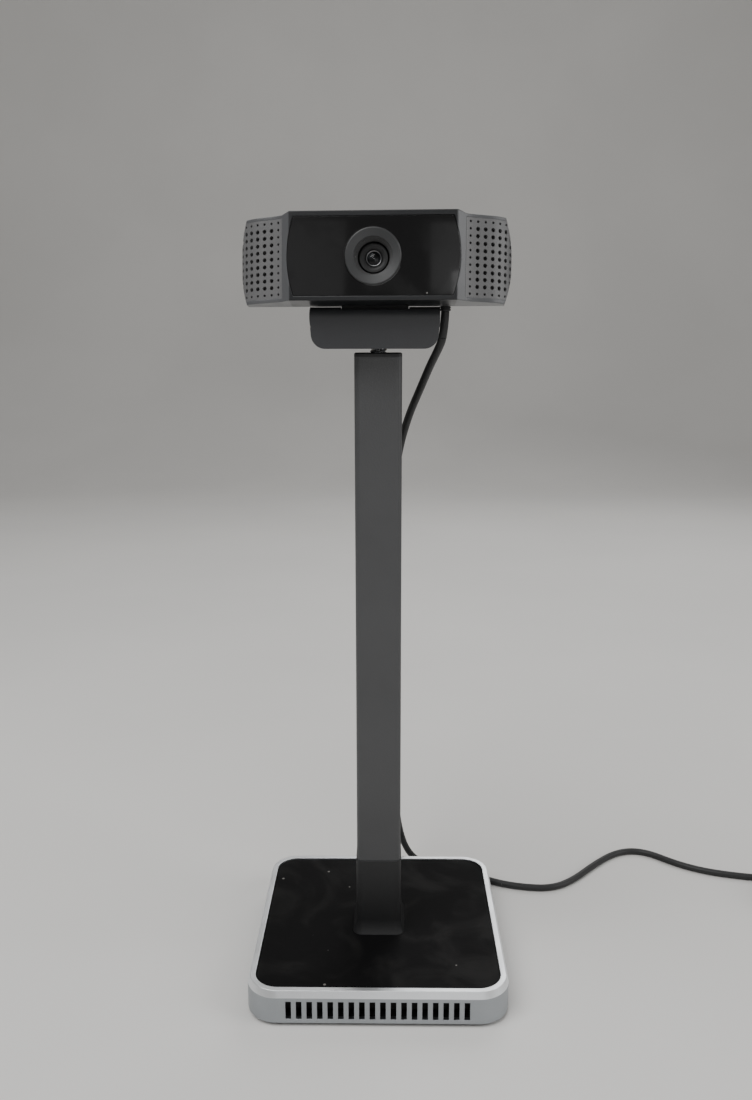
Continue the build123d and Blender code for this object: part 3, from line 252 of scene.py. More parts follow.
def edge_group():
    """A mask of sharp edges, broken up where handling has rubbed them. The colour laid on this mask is partly
    rubbed edges and partly painted light: a painted highlight on most finishes, painted shade round the
    grille's holes.
    """
    inputs = [("Radius", 0.0004), ("Breakup Scale", 260.0), ("Breakup", 0.5)]
    tree, given, out, place = new_group("Edge Wear and Shading", inputs, ("Edge", "Worn and Shaded"))
    rounded = place_node(tree, "ShaderNodeBevel", {"samples": 6}, Radius=given["Radius"])
    flat = place_node(tree, "ShaderNodeNewGeometry")
    dot = {"operation": "DOT_PRODUCT"}
    facing = place_node(
        tree, "ShaderNodeVectorMath", dot, _0=rounded.outputs[0], _1=flat.outputs["Normal"]
    )
    edge = map_range(tree, calc(tree, "SUBTRACT", 1.0, facing.outputs["Value"]), 0.004, 0.14)
    chips = place_node(tree, "ShaderNodeTexNoise", Vector=place, Scale=given["Breakup Scale"], Detail=5.0)
    broken = map_range(tree, chips.outputs[0], 0.42, 0.62)
    whole = calc(tree, "SUBTRACT", 1.0, broken)
    kept = calc(tree, "SUBTRACT", 1.0, calc(tree, "MULTIPLY", given["Breakup"], whole))
    tree.links.new(edge, out["Edge"])
    tree.links.new(calc(tree, "MULTIPLY", edge, kept), out["Worn and Shaded"])
    return tree


def dust_group():
    """Scattered specks, and the cloudy smears that a hand or a cloth leaves."""
    inputs = [("Speck Scale", 420.0), ("Speck Share", 0.05), ("Smudge Scale", 34.0), ("Lint Scale", 60.0)]
    tree, given, out, place = new_group("Dust and Smudges", inputs, ("Specks", "Smudges", "Lint"))
    cells = place_node(
        tree, "ShaderNodeTexVoronoi", {"feature": "F1"}, Vector=place, Scale=given["Speck Scale"]
    )
    chance = place_node(tree, "ShaderNodeSeparateColor", Color=cells.outputs["Color"])
    chosen = calc(tree, "LESS_THAN", chance.outputs[0], given["Speck Share"])
    size = calc(tree, "MULTIPLY", chance.outputs[1], 0.16)
    dot = calc(tree, "LESS_THAN", cells.outputs["Distance"], calc(tree, "ADD", size, 0.04))
    tree.links.new(calc(tree, "MULTIPLY", chosen, dot), out["Specks"])
    cloud = place_node(
        tree, "ShaderNodeTexNoise", Vector=place, Scale=given["Smudge Scale"], Detail=6.0, Distortion=1.4
    )
    tree.links.new(map_range(tree, cloud.outputs[0], 0.44, 0.72), out["Smudges"])
    wisp = place_node(
        tree, "ShaderNodeTexNoise", Vector=place, Scale=given["Lint Scale"], Detail=2.0, Distortion=3.5
    )
    line = calc(tree, "ABSOLUTE", calc(tree, "SUBTRACT", wisp.outputs[0], 0.5))
    thin = map_range(tree, line, 0.0, 0.004, 1.0, 0.0)
    tree.links.new(calc(tree, "MULTIPLY", thin, map_range(tree, cloud.outputs[0], 0.56, 0.66)), out["Lint"])
    return tree


def weave_group():
    """Over-and-under threads of a woven band or a loudspeaker cloth."""
    inputs = [("Threads", 2200.0)]
    tree, given, out, place = new_group("Woven Threads", inputs, ("Height", "Thread"))
    turned = place_node(
        tree, "ShaderNodeMapping", Vector=place, Rotation=(radians(35.0), radians(20.0), radians(45.0))
    ).outputs[0]
    sides = []
    for way in ("X", "Y"):
        settings = {"wave_type": "BANDS", "bands_direction": way}
        threads = calc(tree, "MULTIPLY", given["Threads"], 0.16)
        wave = place_node(tree, "ShaderNodeTexWave", settings, Vector=turned, Scale=threads)
        sides.append(wave.outputs["Fac"])
    crossed = calc(tree, "MAXIMUM", sides[0], sides[1])
    tree.links.new(crossed, out["Height"])
    tree.links.new(calc(tree, "MULTIPLY", sides[0], sides[1]), out["Thread"])
    return tree


DUST = (0.32, 0.31, 0.29, 1.0)
FRAME_TINT_SCALE = 0.080
STRIP_HALF_WIDTH = 0.0284
BEVEL_HEIGHT = 0.0026
SOFT_STEP = 0.0003

GROUP_MAKERS = {
    "Fine Grain": grain_group,
    "Edge Wear and Shading": edge_group,
    "Dust and Smudges": dust_group,
    "Woven Threads": weave_group,
}


def use_group(tree, name, **values):
    """One of the shared effects, placed in a material with its own values. It is built on first use."""
    shared = bpy.data.node_groups.get(name) or GROUP_MAKERS[name]()
    node = place_node(tree, "ShaderNodeGroup", {"node_tree": shared})
    for key, value in values.items():
        node.inputs[key.replace("_", " ")].default_value = value
    return node.outputs


def blank_material(name):
    """A material with one Principled shader, its tree and that shader."""
    material = bpy.data.materials.new(name)
    material.use_nodes = True
    return material, material.node_tree, material.node_tree.nodes["Principled BSDF"]


def make_finish(
    name,
    tint,
    roughness,
    metal=0.0,
    grain=2600.0,
    depth=0.00002,
    variety=0.12,
    streak=1.0,
    edge=0.0004,
    edge_light=1.8,
    edge_amount=0.5,
    specks=0.03,
    speck_scale=420.0,
    smudge=0.08,
    dusting=0.0,
    sheen=0.0,
    coat=0.0,
    specular=0.5,
):
    """A moulded, coated or metal finish with grain, edges rubbed by handling and recoloured by edge_light,
    which paints a highlight above one and paints shade below one, specks and smudges.
    """
    material, tree, shader = blank_material(name)
    surface = use_group(tree, "Fine Grain", Scale=grain, Streak=streak)
    edge_marks = use_group(tree, "Edge Wear and Shading", Radius=edge)
    dirt = use_group(tree, "Dust and Smudges", Speck_Scale=speck_scale, Speck_Share=specks)
    toned = blend_colours(tree, surface["Tone"], opaque(tint, 1.0 - variety), opaque(tint, 1.0 + variety))
    drifted = blend_colours(
        tree, calc(tree, "MULTIPLY", surface["Drift"], 0.6), toned, opaque(tint, 1.0 + 1.6 * variety)
    )
    # Edge colour: partly rubbed edges, partly painted light; a painted highlight where edge_light is above
    # one, painted shade where it is below one.
    edge_toned = blend_colours(
        tree, calc(tree, "MULTIPLY", edge_marks["Worn and Shaded"], edge_amount), drifted, opaque(tint, edge_light)
    )
    cover = calc(tree, "MULTIPLY", dirt["Smudges"], dusting)
    dusty = blend_colours(tree, cover, edge_toned, DUST)
    speckled = blend_colours(tree, calc(tree, "MULTIPLY", dirt["Specks"], 0.55), dusty, DUST)
    tree.links.new(speckled, shader.inputs["Base Color"])
    polish = calc(tree, "MULTIPLY", surface["Tone"], 0.05)
    smeared = calc(tree, "ADD", calc(tree, "MULTIPLY", dirt["Smudges"], smudge), polish)
    rough = calc(tree, "ADD", smeared, roughness - 0.02, clamp=True)
    tree.links.new(rough, shader.inputs["Roughness"])
    softened = place_node(tree, "ShaderNodeBevel", {"samples": 6}, Radius=edge).outputs[0]
    bump = place_node(
        tree, "ShaderNodeBump", Strength=0.6, Distance=depth, Height=surface["Height"], Normal=softened
    )
    tree.links.new(bump.outputs[0], shader.inputs["Normal"])
    shader.inputs["Metallic"].default_value = metal
    shader.inputs["Specular IOR Level"].default_value = specular
    if coat:
        shader.inputs["Coat Weight"].default_value = coat
        shader.inputs["Coat Roughness"].default_value = 0.06
    if sheen:
        shader.inputs["Sheen Weight"].default_value = sheen
        shader.inputs["Sheen Roughness"].default_value = 0.4
    return material


def make_cloth(name, tint, threads):
    """A woven finish."""
    material, tree, shader = blank_material(name)
    weave = use_group(tree, "Woven Threads", Threads=threads)
    dirt = use_group(tree, "Dust and Smudges", Speck_Scale=700.0, Speck_Share=0.04)
    threaded = blend_colours(tree, weave["Thread"], opaque(tint, 0.55), opaque(tint, 1.5))
    linted = blend_colours(tree, calc(tree, "MULTIPLY", dirt["Specks"], 0.5), threaded, opaque(tint, 6.0))
    tree.links.new(linted, shader.inputs["Base Color"])
    rough = calc(tree, "ADD", calc(tree, "MULTIPLY", weave["Height"], 0.1), 0.82)
    tree.links.new(rough, shader.inputs["Roughness"])
    bump = place_node(tree, "ShaderNodeBump", Strength=0.8, Distance=0.00012, Height=weave["Height"])
    tree.links.new(bump.outputs[0], shader.inputs["Normal"])
    shader.inputs["Sheen Weight"].default_value = 0.25
    return material


def make_glass(name, tint):
    """Coated optical glass, seen as dark tinted gloss with a violet and green sheen of its own."""
    material, tree, shader = blank_material(name)
    dirt = use_group(tree, "Dust and Smudges", Speck_Scale=2600.0, Speck_Share=0.02, Smudge_Scale=300.0)
    tinted = blend_colours(tree, dirt["Smudges"], opaque(tint), opaque(tint, 0.8))
    tree.links.new(tinted, shader.inputs["Base Color"])
    tree.links.new(calc(tree, "MULTIPLY", dirt["Smudges"], 0.03), shader.inputs["Roughness"])
    shader.inputs["Transmission Weight"].default_value = 1.0
    shader.inputs["IOR"].default_value = 1.32
    shader.inputs["Coat Weight"].default_value = 0.08
    shader.inputs["Coat Tint"].default_value = (0.86, 0.84, 1.0, 1.0)
    shader.inputs["Coat Roughness"].default_value = 0.02
    return material


def dress(material, *names):
    """Gives CAD parts their finish."""
    for name in names:
        slots = frame["nodes"][name].data.materials
        slots.clear()
        slots.append(material)


# ---------------------------------------------------------------- mesh tools
def add_piece(name, mesh, material, smooth=True):
    """A new object with its mesh and finish."""
    if smooth:
        mesh.shade_smooth()
    mesh.materials.append(material)
    piece = bpy.data.objects.new(name, mesh)
    bpy.context.scene.collection.objects.link(piece)
    return piece


def grid_mesh(name, rows, closed_rows=True, cap=False):
    """A skin over rows of points, every row as long as the others."""
    form = bmesh.new()
    rings = [[form.verts.new(point) for point in row] for row in rows]
    count = len(rings[0])
    last = count if closed_rows else count - 1
    for near, far in zip(rings, rings[1:]):
        for index in range(last):
            after = (index + 1) % count
            form.faces.new((near[index], near[after], far[after], far[index]))
    if cap:
        form.faces.new(rings[0][::-1])
        form.faces.new(rings[-1])
    bmesh.ops.recalc_face_normals(form, faces=form.faces)
    mesh = bpy.data.meshes.new(name)
    form.to_mesh(mesh)
    form.free()
    return mesh


def turned_mesh(name, profile, sides, place):
    """A profile of (radius, reach along the axis) turned about local Z, then put in place by a matrix."""
    rows = []
    for radius, reach in profile:
        spots = [2.0 * pi * side / sides for side in range(sides)]
        rows.append([place @ Vector((radius * cos(spot), radius * sin(spot), reach)) for spot in spots])
    return grid_mesh(name, rows, closed_rows=True, cap=False)


def edge_sharpen(piece, limit=35.0):
    """Keeps a piece's true corners crisp while its rounds shade smoothly."""
    piece.data.set_sharp_from_angle(angle=radians(limit))
    return piece


def tube_rows(path, radius, sides):
    """Rings square to a path, turned as little as they can be from one to the next."""
    rows = []
    side = None
    for index, spot in enumerate(path):
        before = path[max(index - 1, 0)]
        after = path[min(index + 1, len(path) - 1)]
        along = (after - before).normalized()
        if side is None:
            side = along.orthogonal().normalized()
        side = (side - along * side.dot(along)).normalized()
        up = along.cross(side)
        turns = [2.0 * pi * step / sides for step in range(sides)]
        rows.append([spot + side * (radius * cos(turn)) + up * (radius * sin(turn)) for turn in turns])
    return rows


def path_length(path):
    """Length of a line of points."""
    return sum((after - before).length for before, after in zip(path, path[1:]))


def head_place(settings):
    """The camera head's own frame at rest: its origin on the tilt pin, local Y backwards along the lens."""
    turn = Euler((-settings.tilt_rest, 0.0, settings.pan_rest), "XYZ").to_matrix().to_4x4()
    return Matrix.Translation(Vector(TILT_AXIS)) @ turn


# ---------------------------------------------------------------- the lead's route
HANGING_ROUTE = [
    (0.02394, -0.01040, 0.25980),
    (0.02360, -0.00960, 0.25100),
    (0.02150, -0.00410, 0.24560),
    (0.01920, 0.00100, 0.24060),
    (0.01590, 0.00760, 0.23200),
    (0.01130, 0.01540, 0.22050),
    (0.00740, 0.01960, 0.20550),
    (0.00420, 0.02360, 0.18000),
    (0.00260, 0.03100, 0.13600),
    (0.00400, 0.04100, 0.08800),
    (0.00640, 0.05000, 0.04700),
    (0.00940, 0.05620, 0.02050),
    (0.01560, 0.06020, 0.00650),
    (0.02700, 0.06100, 0.00150),
]
FLOOR_ROUTE = [
    (0.0400, 0.0574),
    (0.0525, 0.0488),
    (0.0660, 0.0442),
    (0.0800, 0.0434),
    (0.0910, 0.0506),
    (0.1032, 0.0642),
    (0.1146, 0.0746),
    (0.1242, 0.0784),
    (0.1332, 0.0760),
    (0.1432, 0.0664),
    (0.1540, 0.0598),
    (0.1660, 0.0560),
    (0.1790, 0.0534),
    (0.1920, 0.0527),
]
TAIL_ROUTE = [
    (0.2192, 0.0254, 0.0047),
    (0.2229, 0.0164, 0.0029),
    (0.2245, 0.0076, 0.0032),
    (0.2246, -0.0010, 0.0042),
]
ARM_LEVEL = 0.2510
LEG_LEVEL = 0.1500
STAND_LEVEL = 0.0600


def coil_route(settings):
    """The coil's turns, seen in section as nested rows: each turn moves to its next place over a short angle.

    Places are (diameters in from the outermost turn, rows up), and the number is how many steps early the
    next move starts, so that two moves never meet where the order doubles back.
    """
    places = [
        (0.0, 0, 0),
        (1.0, 0, 0),
        (2.0, 0, 0),
        (3.0, 0, 1),
        (2.5, 1, 0),
        (1.5, 1, 1),
        (2.0, 2, 0),
        (1.5, 3, 1),
        (1.0, 2, 0),
        (0.5, 1, 0),
    ]
    size = settings.diameter
    row_height = 0.866 * size
    steps = settings.steps
    move = ceil(steps / 6)
    starts, turn_end = [], 0
    for _, _, early in places[:-1]:
        turn_end += steps - move * early
        starts.append(turn_end - move)
    exit_step = int(steps * 9.28)
    points = []
    for step in range(1, exit_step):
        index = sum(step >= start for start in starts)
        here = places[min(index, len(places) - 1)]
        inward, row = here[0], here[1]
        if index and step < starts[index - 1] + move:
            share = (step - starts[index - 1]) / move
            share = share * share * (3.0 - 2.0 * share)
            before = places[index - 1]
            inward = before[0] + (here[0] - before[0]) * share
            row = before[1] + (here[1] - before[1]) * share
        reach = settings.coil_outer - inward * size
        heading = pi / 2.0 - 2.0 * pi * step / steps
        points.append(
            (
                settings.coil_x + reach * cos(heading),
                settings.coil_y + reach * sin(heading),
                size / 2.0 + row * row_height,
            )
        )
    return points


def lead_line(settings):
    """The lead's centreline, read from one smooth spline through its whole route."""
    level = settings.diameter / 2.0
    route = HANGING_ROUTE + [(x, y, level) for x, y in FLOOR_ROUTE] + coil_route(settings) + TAIL_ROUTE
    curve = bpy.data.curves.new("lead_route", "CURVE")
    curve.dimensions = "3D"
    curve.resolution_u = 6
    spline = curve.splines.new("NURBS")
    spline.points.add(len(route) - 1)
    for point, place in zip(spline.points, route):
        point.co = (*place, 1.0)
    spline.order_u = 3
    spline.use_endpoint_u = True
    guide = bpy.data.objects.new("lead_route", curve)
    mesh = bpy.data.meshes.new_from_object(guide)
    line = [vertex.co.copy() for vertex in mesh.vertices]
    bpy.data.meshes.remove(mesh)
    bpy.data.objects.remove(guide)
    bpy.data.curves.remove(curve)
    if len(line) < len(route):
        raise RuntimeError("the lead's route gave no line")
    return line


# ---------------------------------------------------------------- operators
class WEBCAM_OT_stage(bpy.types.Operator):
    """Sets the camera, the floor that curves up behind, and soft studio lights"""

    bl_idname = "webcam.stage"
    bl_label = "Stage"

    def execute(self, context):
        settings = context.scene.webcam_stage
        scene = context.scene
        lens = bpy.data.cameras.new("view")
        lens.sensor_width = 36.0
        lens.lens = settings.focal_length
        lens.clip_start = 0.01
        camera = bpy.data.objects.new("view", lens)
        camera.location = settings.camera_place
        looking = Euler((pi / 2.0 - settings.camera_pitch, settings.camera_roll, settings.camera_yaw), "XYZ")
        camera.rotation_euler = looking
        scene.collection.objects.link(camera)
        scene.camera = camera
        self.make_floor(settings)
        self.make_light("key", (-0.55, -0.55, 1.25), (0.0, 0.0, 0.12), 1.1, settings.key_power)
        self.make_light("side", (1.15, -0.35, 0.75), (0.0, 0.0, 0.15), 0.8, settings.fill_power)
        self.make_light("rear", (0.35, 0.95, 0.95), (0.0, 0.0, 0.18), 0.8, 0.7 * settings.fill_power)
        self.make_light("front", (0.30, -1.5, 0.42), (0.0, 0.0, 0.20), 0.7, settings.front_power)
        self.make_light("card_left", (-0.44, -2.0, 0.96), (0.0, 0.0, 0.27), 0.20, settings.card_power)
        self.make_light("card_right", (-0.05, -2.0, 0.96), (0.0, 0.0, 0.27), 0.16, settings.card_power)
        world = bpy.data.worlds.new("sky")
        world.use_nodes = True
        sky = world.node_tree.nodes["Background"]
        sky.inputs["Color"].default_value = (1.0, 0.985, 0.965, 1.0)
        sky.inputs["Strength"].default_value = settings.sky_strength
        scene.world = world
        return {"FINISHED"}

    def make_floor(self, settings):
        """A sheet of floor that turns up into a backdrop."""
        half, bend, high = 3.0, 0.7, 2.4
        outline = [(-2.6, 0.0), (settings.backdrop_distance, 0.0)]
        for step in range(1, 13):
            turn = pi / 2.0 * step / 12.0
            outline.append((settings.backdrop_distance + bend * sin(turn), bend * (1.0 - cos(turn))))
        outline.append((settings.backdrop_distance + bend, high))
        rows = [[Vector((side, y, z)) for side in (-half, half)] for y, z in outline]
        material, tree, shader = blank_material("Studio Floor")
        surface = use_group(tree, "Fine Grain", Scale=900.0, Drift_Scale=3.0)
        tint = settings.floor_colour
        tone = blend_colours(tree, surface["Drift"], opaque(tint, 0.97), opaque(tint, 1.02))
        tree.links.new(tone, shader.inputs["Base Color"])
        shader.inputs["Roughness"].default_value = 0.85
        floor = add_piece("floor", grid_mesh("floor", rows, closed_rows=False), material)

    def make_light(self, name, place, target, size, power):
        """A soft square light that faces a point."""
        lamp = bpy.data.lights.new(name, "AREA")
        lamp.size = size
        lamp.energy = power
        light = bpy.data.objects.new(name, lamp)
        light.location = place
        light.rotation_euler = (Vector(target) - Vector(place)).to_track_quat("-Z", "Y").to_euler()
        bpy.context.scene.collection.objects.link(light)


class WEBCAM_OT_lead(bpy.types.Operator):
    """Lays the USB lead from the camera's boot down to the coil and its plug"""

    bl_idname = "webcam.lead"
    bl_label = "USB Lead"

    def execute(self, context):
        settings = context.scene.webcam_lead
        sheath = make_finish(
            "Lead Sheath", settings.sheath, 0.50, grain=3200.0, depth=0.000012, variety=0.10, edge=0.0002,
            edge_amount=0.0, specks=0.05, speck_scale=600.0, smudge=0.10, sheen=0.08,
        )
        line = lead_line(settings)
        cuts = [0]
        for level in (ARM_LEVEL, LEG_LEVEL, STAND_LEVEL):
            cuts.append(next(index for index, spot in enumerate(line) if spot.z <= level))
        cuts.append(len(line) - 1)
        stretches = [line[first : last + 1] for first, last in zip(cuts, cuts[1:])]
        names = ("lead_head", "lead_arm", "lead_leg", "lead_floor")
        tubes = []
        for name, path in zip(names, stretches):
            rows = tube_rows(path, settings.diameter / 2.0, settings.sides)
            tubes.append(add_piece(name, grid_mesh(name, rows, cap=True), sheath))
        for tube in tubes:
            edge_sharpen(tube, 60.0)
        near, arm, leg, rest = tubes
        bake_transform(near)
        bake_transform(arm)
        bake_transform(leg)
        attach(rest, "stand")
        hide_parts("cord_lead")
        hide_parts("cord_run", "cord_coil", "cord_tail")
        spent = path_length(stretches[0])
        for tube, path, on_it in ((arm, stretches[1], ["lead_head", "lead_boot"]), (leg, stretches[2], [])):
            reach = path_length(path)
            spent += reach
        return {"FINISHED"}


class WEBCAM_OT_lead_fittings(bpy.types.Operator):
    """Makes the ribbed boot under the camera and the hook-and-loop strap round the coil"""

    bl_idname = "webcam.lead_fittings"
    bl_label = "Boot and Strap"

    def execute(self, context):
        self.make_boot(context.scene.webcam_fittings)
        self.make_strap(context.scene.webcam_lead)
        return {"FINISHED"}

    def make_boot(self, settings):
        """A tapered boot with shallow ribs, where the lead leaves the camera."""
        low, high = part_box("cable_boot")
        middle = (low + high) / 2.0
        tall = high.z - low.z
        wide = (high.x - low.x) / 2.0
        core = 0.00152
        profile = [(core, 0.0), (0.80 * wide, 0.0), (0.84 * wide, 0.00015)]
        rib_start, rib_end = 0.06, 0.52
        pitch = (rib_end - rib_start) / settings.boot_ribs
        for rib in range(settings.boot_ribs):
            start = rib_start + rib * pitch
            radius = (0.85 + 0.1 * start) * wide
            groove = radius - 0.00028
            for share, reach in ((0.0, radius), (0.55, radius), (0.64, groove), (0.94, groove)):
                profile.append((reach, (start + share * pitch) * tall))
        profile += [(0.96 * wide, (rib_end + 0.02) * tall), (0.99 * wide, 0.9 * tall)]
        profile += [(0.9 * wide, tall), (core, tall)]
        rubber = make_finish(
            "Boot Rubber", (0.020, 0.020, 0.021), 0.58, grain=3800.0, depth=0.000015, edge=0.00015,
            edge_amount=0.3, specks=0.04, sheen=0.05,
        )
        place = Matrix.Translation(Vector((middle.x, middle.y, low.z)))
        boot = add_piece("lead_boot", turned_mesh("lead_boot", profile, 40, place), rubber)
        edge_sharpen(boot)
        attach(boot, "head")
        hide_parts("cable_boot")

    def make_strap(self, settings):
        """A woven strap that lies over the coil's near side and is tucked under it at both ends."""
        low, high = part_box("cord_tie")
        thick = 0.0008
        wide = high.x - low.x
        near, far = low.y + thick, high.y - thick
        top = high.z - thick
        shoulder = 0.0029
        slope = 0.0042
        under = [
            (near, 0.0001),
            (near, shoulder),
            (near + 0.5 * slope, 0.5 * (shoulder + top)),
            (near + slope, top),
            ((near + far) / 2.0, top + 0.0001),
            (far - slope, top),
            (far - 0.5 * slope, 0.5 * (shoulder + top)),
            (far, shoulder),
            (far, 0.0001),
        ]
        middle = sum((Vector(spot) for spot in under), Vector((0.0, 0.0))) / len(under)
        rows = []
        count = 8
        for index, spot in enumerate(under):
            here = Vector(spot)
            before = Vector(under[max(index - 1, 0)])
            after = Vector(under[min(index + 1, len(under) - 1)])
            along = (after - before).normalized()
            out = Vector((-along.y, along.x))
            if out.dot(here - middle) < 0.0:
                out = -out
            over = here + out * thick
            ring = []
            for side in range(count + 1):
                x = low.x + wide * side / count
                ring.append(Vector((x, here.x, here.y)))
            for side in range(count, -1, -1):
                x = low.x + wide * side / count
                ring.append(Vector((x, over.x, max(over.y, 0.0001))))
            rows.append(ring)
        woven = make_cloth("Strap Weave", settings.strap, 1500.0)
        strap = add_piece("coil_strap", grid_mesh("coil_strap", rows, cap=True), woven)
        round_off = strap.modifiers.new("edge", "BEVEL")
        round_off.width = 0.0002
        round_off.segments = 2
        round_off.limit_method = "ANGLE"
        round_off.angle_limit = radians(50.0)
        edge_sharpen(strap, 50.0)
        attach(strap, "stand")
        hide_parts("cord_tie")


class WEBCAM_OT_plug(bpy.types.Operator):
    """Gives the USB plug its grip, plated shell, tongue and gold contacts"""

    bl_idname = "webcam.plug"
    bl_label = "USB Plug"

    def execute(self, context):
        grip = make_finish(
            "Plug Grip", (0.022, 0.022, 0.023), 0.46, grain=2400.0, depth=0.00003, edge=0.0006,
            edge_amount=0.4,
        )
        shell = make_finish(
            "Plated Steel", (0.72, 0.71, 0.69), 0.20, metal=1.0, grain=1500.0, depth=0.000004, variety=0.06,
            streak=0.2, edge=0.0003, edge_light=1.15, specks=0.01, smudge=0.12,
        )
        tongue = make_finish(
            "Plug Tongue", (0.78, 0.78, 0.77), 0.42, depth=0.00001, edge=0.0002, variety=0.04
        )
        gold = make_finish(
            "Gold Contacts", (0.83, 0.62, 0.28), 0.22, metal=1.0, grain=1800.0, depth=0.000004, variety=0.08,
            streak=0.2, edge=0.0001, edge_light=1.2,
        )
        dress(grip, "plug_grip")
        dress(shell, "plug_shell")
        dress(tongue, "plug_tongue")
        dress(gold, "plug_contacts")
        return {"FINISHED"}


class WEBCAM_OT_base(bpy.types.Operator):
    """Finishes the weighted base: blasted aluminium rim, soft black plate, iron weight, cover and feet"""

    bl_idname = "webcam.base"
    bl_label = "Base"

    def execute(self, context):
        tints = context.scene.webcam_finish
        rim = make_finish(
            "Blasted Aluminium", tints.aluminium, 0.36, metal=1.0, grain=4200.0, depth=0.00003, variety=0.05,
            edge=0.00035, edge_light=1.35, specks=0.012, smudge=0.10,
        )
        plate = make_finish(
            "Soft Black Plate", tints.plate, 0.60, depth=0.00003, variety=0.18, edge=0.0003,
            edge_light=2.2, edge_amount=0.4, specks=0.05, speck_scale=300.0, smudge=-0.10, dusting=0.020,
            specular=0.06,
        )
        iron = make_finish(
            "Cast Weight", (0.05, 0.048, 0.046), 0.72, metal=0.6, grain=700.0, depth=0.0002, variety=0.3
        )
        cover = make_finish("Cover Paint", (0.02, 0.02, 0.021), 0.5, grain=1800.0, depth=0.00004)
        rubber = make_finish(
            "Foot Rubber", (0.014, 0.014, 0.014), 0.72, grain=1600.0, depth=0.00005, specks=0.12
        )
        self.add_painted_bevel_highlight(rim, tints)
        dress(rim, "base_shell")
        dress(plate, "top_plate")
        dress(iron, "ballast")
        dress(cover, "bottom_cover")
        dress(rubber, "rubber_feet")
        return {"FINISHED"}

    def add_painted_bevel_highlight(self, material, tints):
        """Paints a highlight on the rim's bevel and flat top edge: the band above the bevel's lower edge gets
        a brighter colour than the plain sides, standing in for light from above.
        """
        bevel_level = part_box("base_shell")[1].z - BEVEL_HEIGHT
        tree = material.node_tree
        target = tree.nodes["Principled BSDF"].inputs["Base Color"]
        plain = target.links[0].from_socket
        place = place_node(tree, "ShaderNodeTexCoord").outputs["Object"]
        level = place_node(tree, "ShaderNodeSeparateXYZ", Vector=place).outputs["Z"]
        # Mask of the painted highlight: everything above the bevel's lower edge.
        cut = map_range(tree, level, bevel_level - 0.0001, bevel_level + 0.0001)
        gain = opaque([bright / side for bright, side in zip(tints.painted_bevel_highlight, tints.aluminium)])
        lit = blend_colours(tree, 1.0, plain, gain, "MULTIPLY")
        tree.links.new(blend_colours(tree, cut, plain, lit), target)


class WEBCAM_OT_fixings(bpy.types.Operator):
    """Finishes the screws, bolts, pins, brackets and brass insert, and cuts the stud's thread"""

    bl_idname = "webcam.fixings"
    bl_label = "Fixings"

    def execute(self, context):
        zinc = make_finish(
            "Zinc Plate", (0.62, 0.63, 0.65), 0.26, metal=1.0, grain=1900.0, depth=0.00001, variety=0.10,
            edge=0.0002, edge_light=1.25, specks=0.02, smudge=0.15,
        )
        brass = make_finish(
            "Brass Insert", (0.70, 0.50, 0.22), 0.28, metal=1.0, grain=1900.0, depth=0.00001, variety=0.10,
            edge=0.0002, edge_light=1.2,
        )
        dress(
            zinc, "cover_screws", "root_block", "post_bolts", "stud_nut", "fold_pin", "tilt_pin",
            "friction_washers", "board_screws",
        )
        black = make_finish(
            "Hinge Paint", (0.010, 0.010, 0.0105), 0.5, grain=2400.0, edge=0.0002,
            edge_light=2.0, specks=0.01, specular=0.3,
        )
        dress(black, "hinge_bracket")
        dress(brass, "thread_insert")
        self.make_stud(context.scene.webcam_fittings, zinc)
        return {"FINISHED"}

    def make_stud(self, settings, material):
        """The camera stud with a real helical thread and a chamfered end."""
        low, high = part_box("stud")
        middle = (low + high) / 2.0
        radius = (high.x - low.x) / 2.0
        sides = 48
        rings = int((high.z - low.z) / settings.thread_pitch * 14.0)
        rows = []
        for ring in range(rings + 1):
            z = low.z + (high.z - low.z) * ring / rings
            lead_in = min(1.0, (high.z - z) / 0.0008)
            row = []
            for side in range(sides):
                turn = 2.0 * pi * side / sides
                phase = (z / settings.thread_pitch - side / sides) % 1.0
                groove = min(1.0, max(0.0, 1.25 - abs(phase - 0.5) * 3.0))
                reach = (radius - settings.thread_depth * groove) * (0.86 + 0.14 * lead_in)
                row.append(Vector((middle.x + reach * cos(turn), middle.y + reach * sin(turn), z)))
            rows.append(row)
        stud = add_piece("stud_thread", grid_mesh("stud_thread", rows, cap=True), material)
        edge_sharpen(stud)
        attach(stud, "stand")
        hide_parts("stud")


class WEBCAM_OT_post(bpy.types.Operator):
    """Finishes the post, its foot collar and its cap"""

    bl_idname = "webcam.post"
    bl_label = "Post"

    def execute(self, context):
        tints = context.scene.webcam_finish
        coat = make_finish(
            "Powder Coat", tints.post, 0.40, grain=3000.0, depth=0.00004, variety=0.14, edge=0.0003,
            edge_light=2.4, edge_amount=0.35, specks=0.012, speck_scale=330.0, smudge=0.10,
        )
        collar = make_finish(
            "Collar Plastic", tints.collar, 0.46, grain=2800.0, depth=0.00003, edge=0.0003,
            edge_light=5.0, edge_amount=0.7, specks=0.04, smudge=0.12,
        )
        dress(coat, "post")
        dress(collar, "foot_collar", "post_cap")
        return {"FINISHED"}


class WEBCAM_OT_clip(bpy.types.Operator):
    """Finishes the folded monitor clip and its rubber pads"""

    bl_idname = "webcam.clip"
    bl_label = "Monitor Clip"

    def execute(self, context):
        tints = context.scene.webcam_finish
        body = make_finish(
            "Clip Plastic", tints.clip, 0.44, grain=3400.0, depth=0.00003, variety=0.10, edge=0.0003,
            edge_light=3.2, edge_amount=0.6, specks=0.02,
        )
        pads = make_finish(
            "Pad Rubber", (0.016, 0.016, 0.016), 0.75, grain=1500.0, depth=0.00006, specks=0.10
        )
        dress(body, "clip_leg", "clip_arm")
        dress(pads, "leg_pad", "arm_pad")
        return {"FINISHED"}


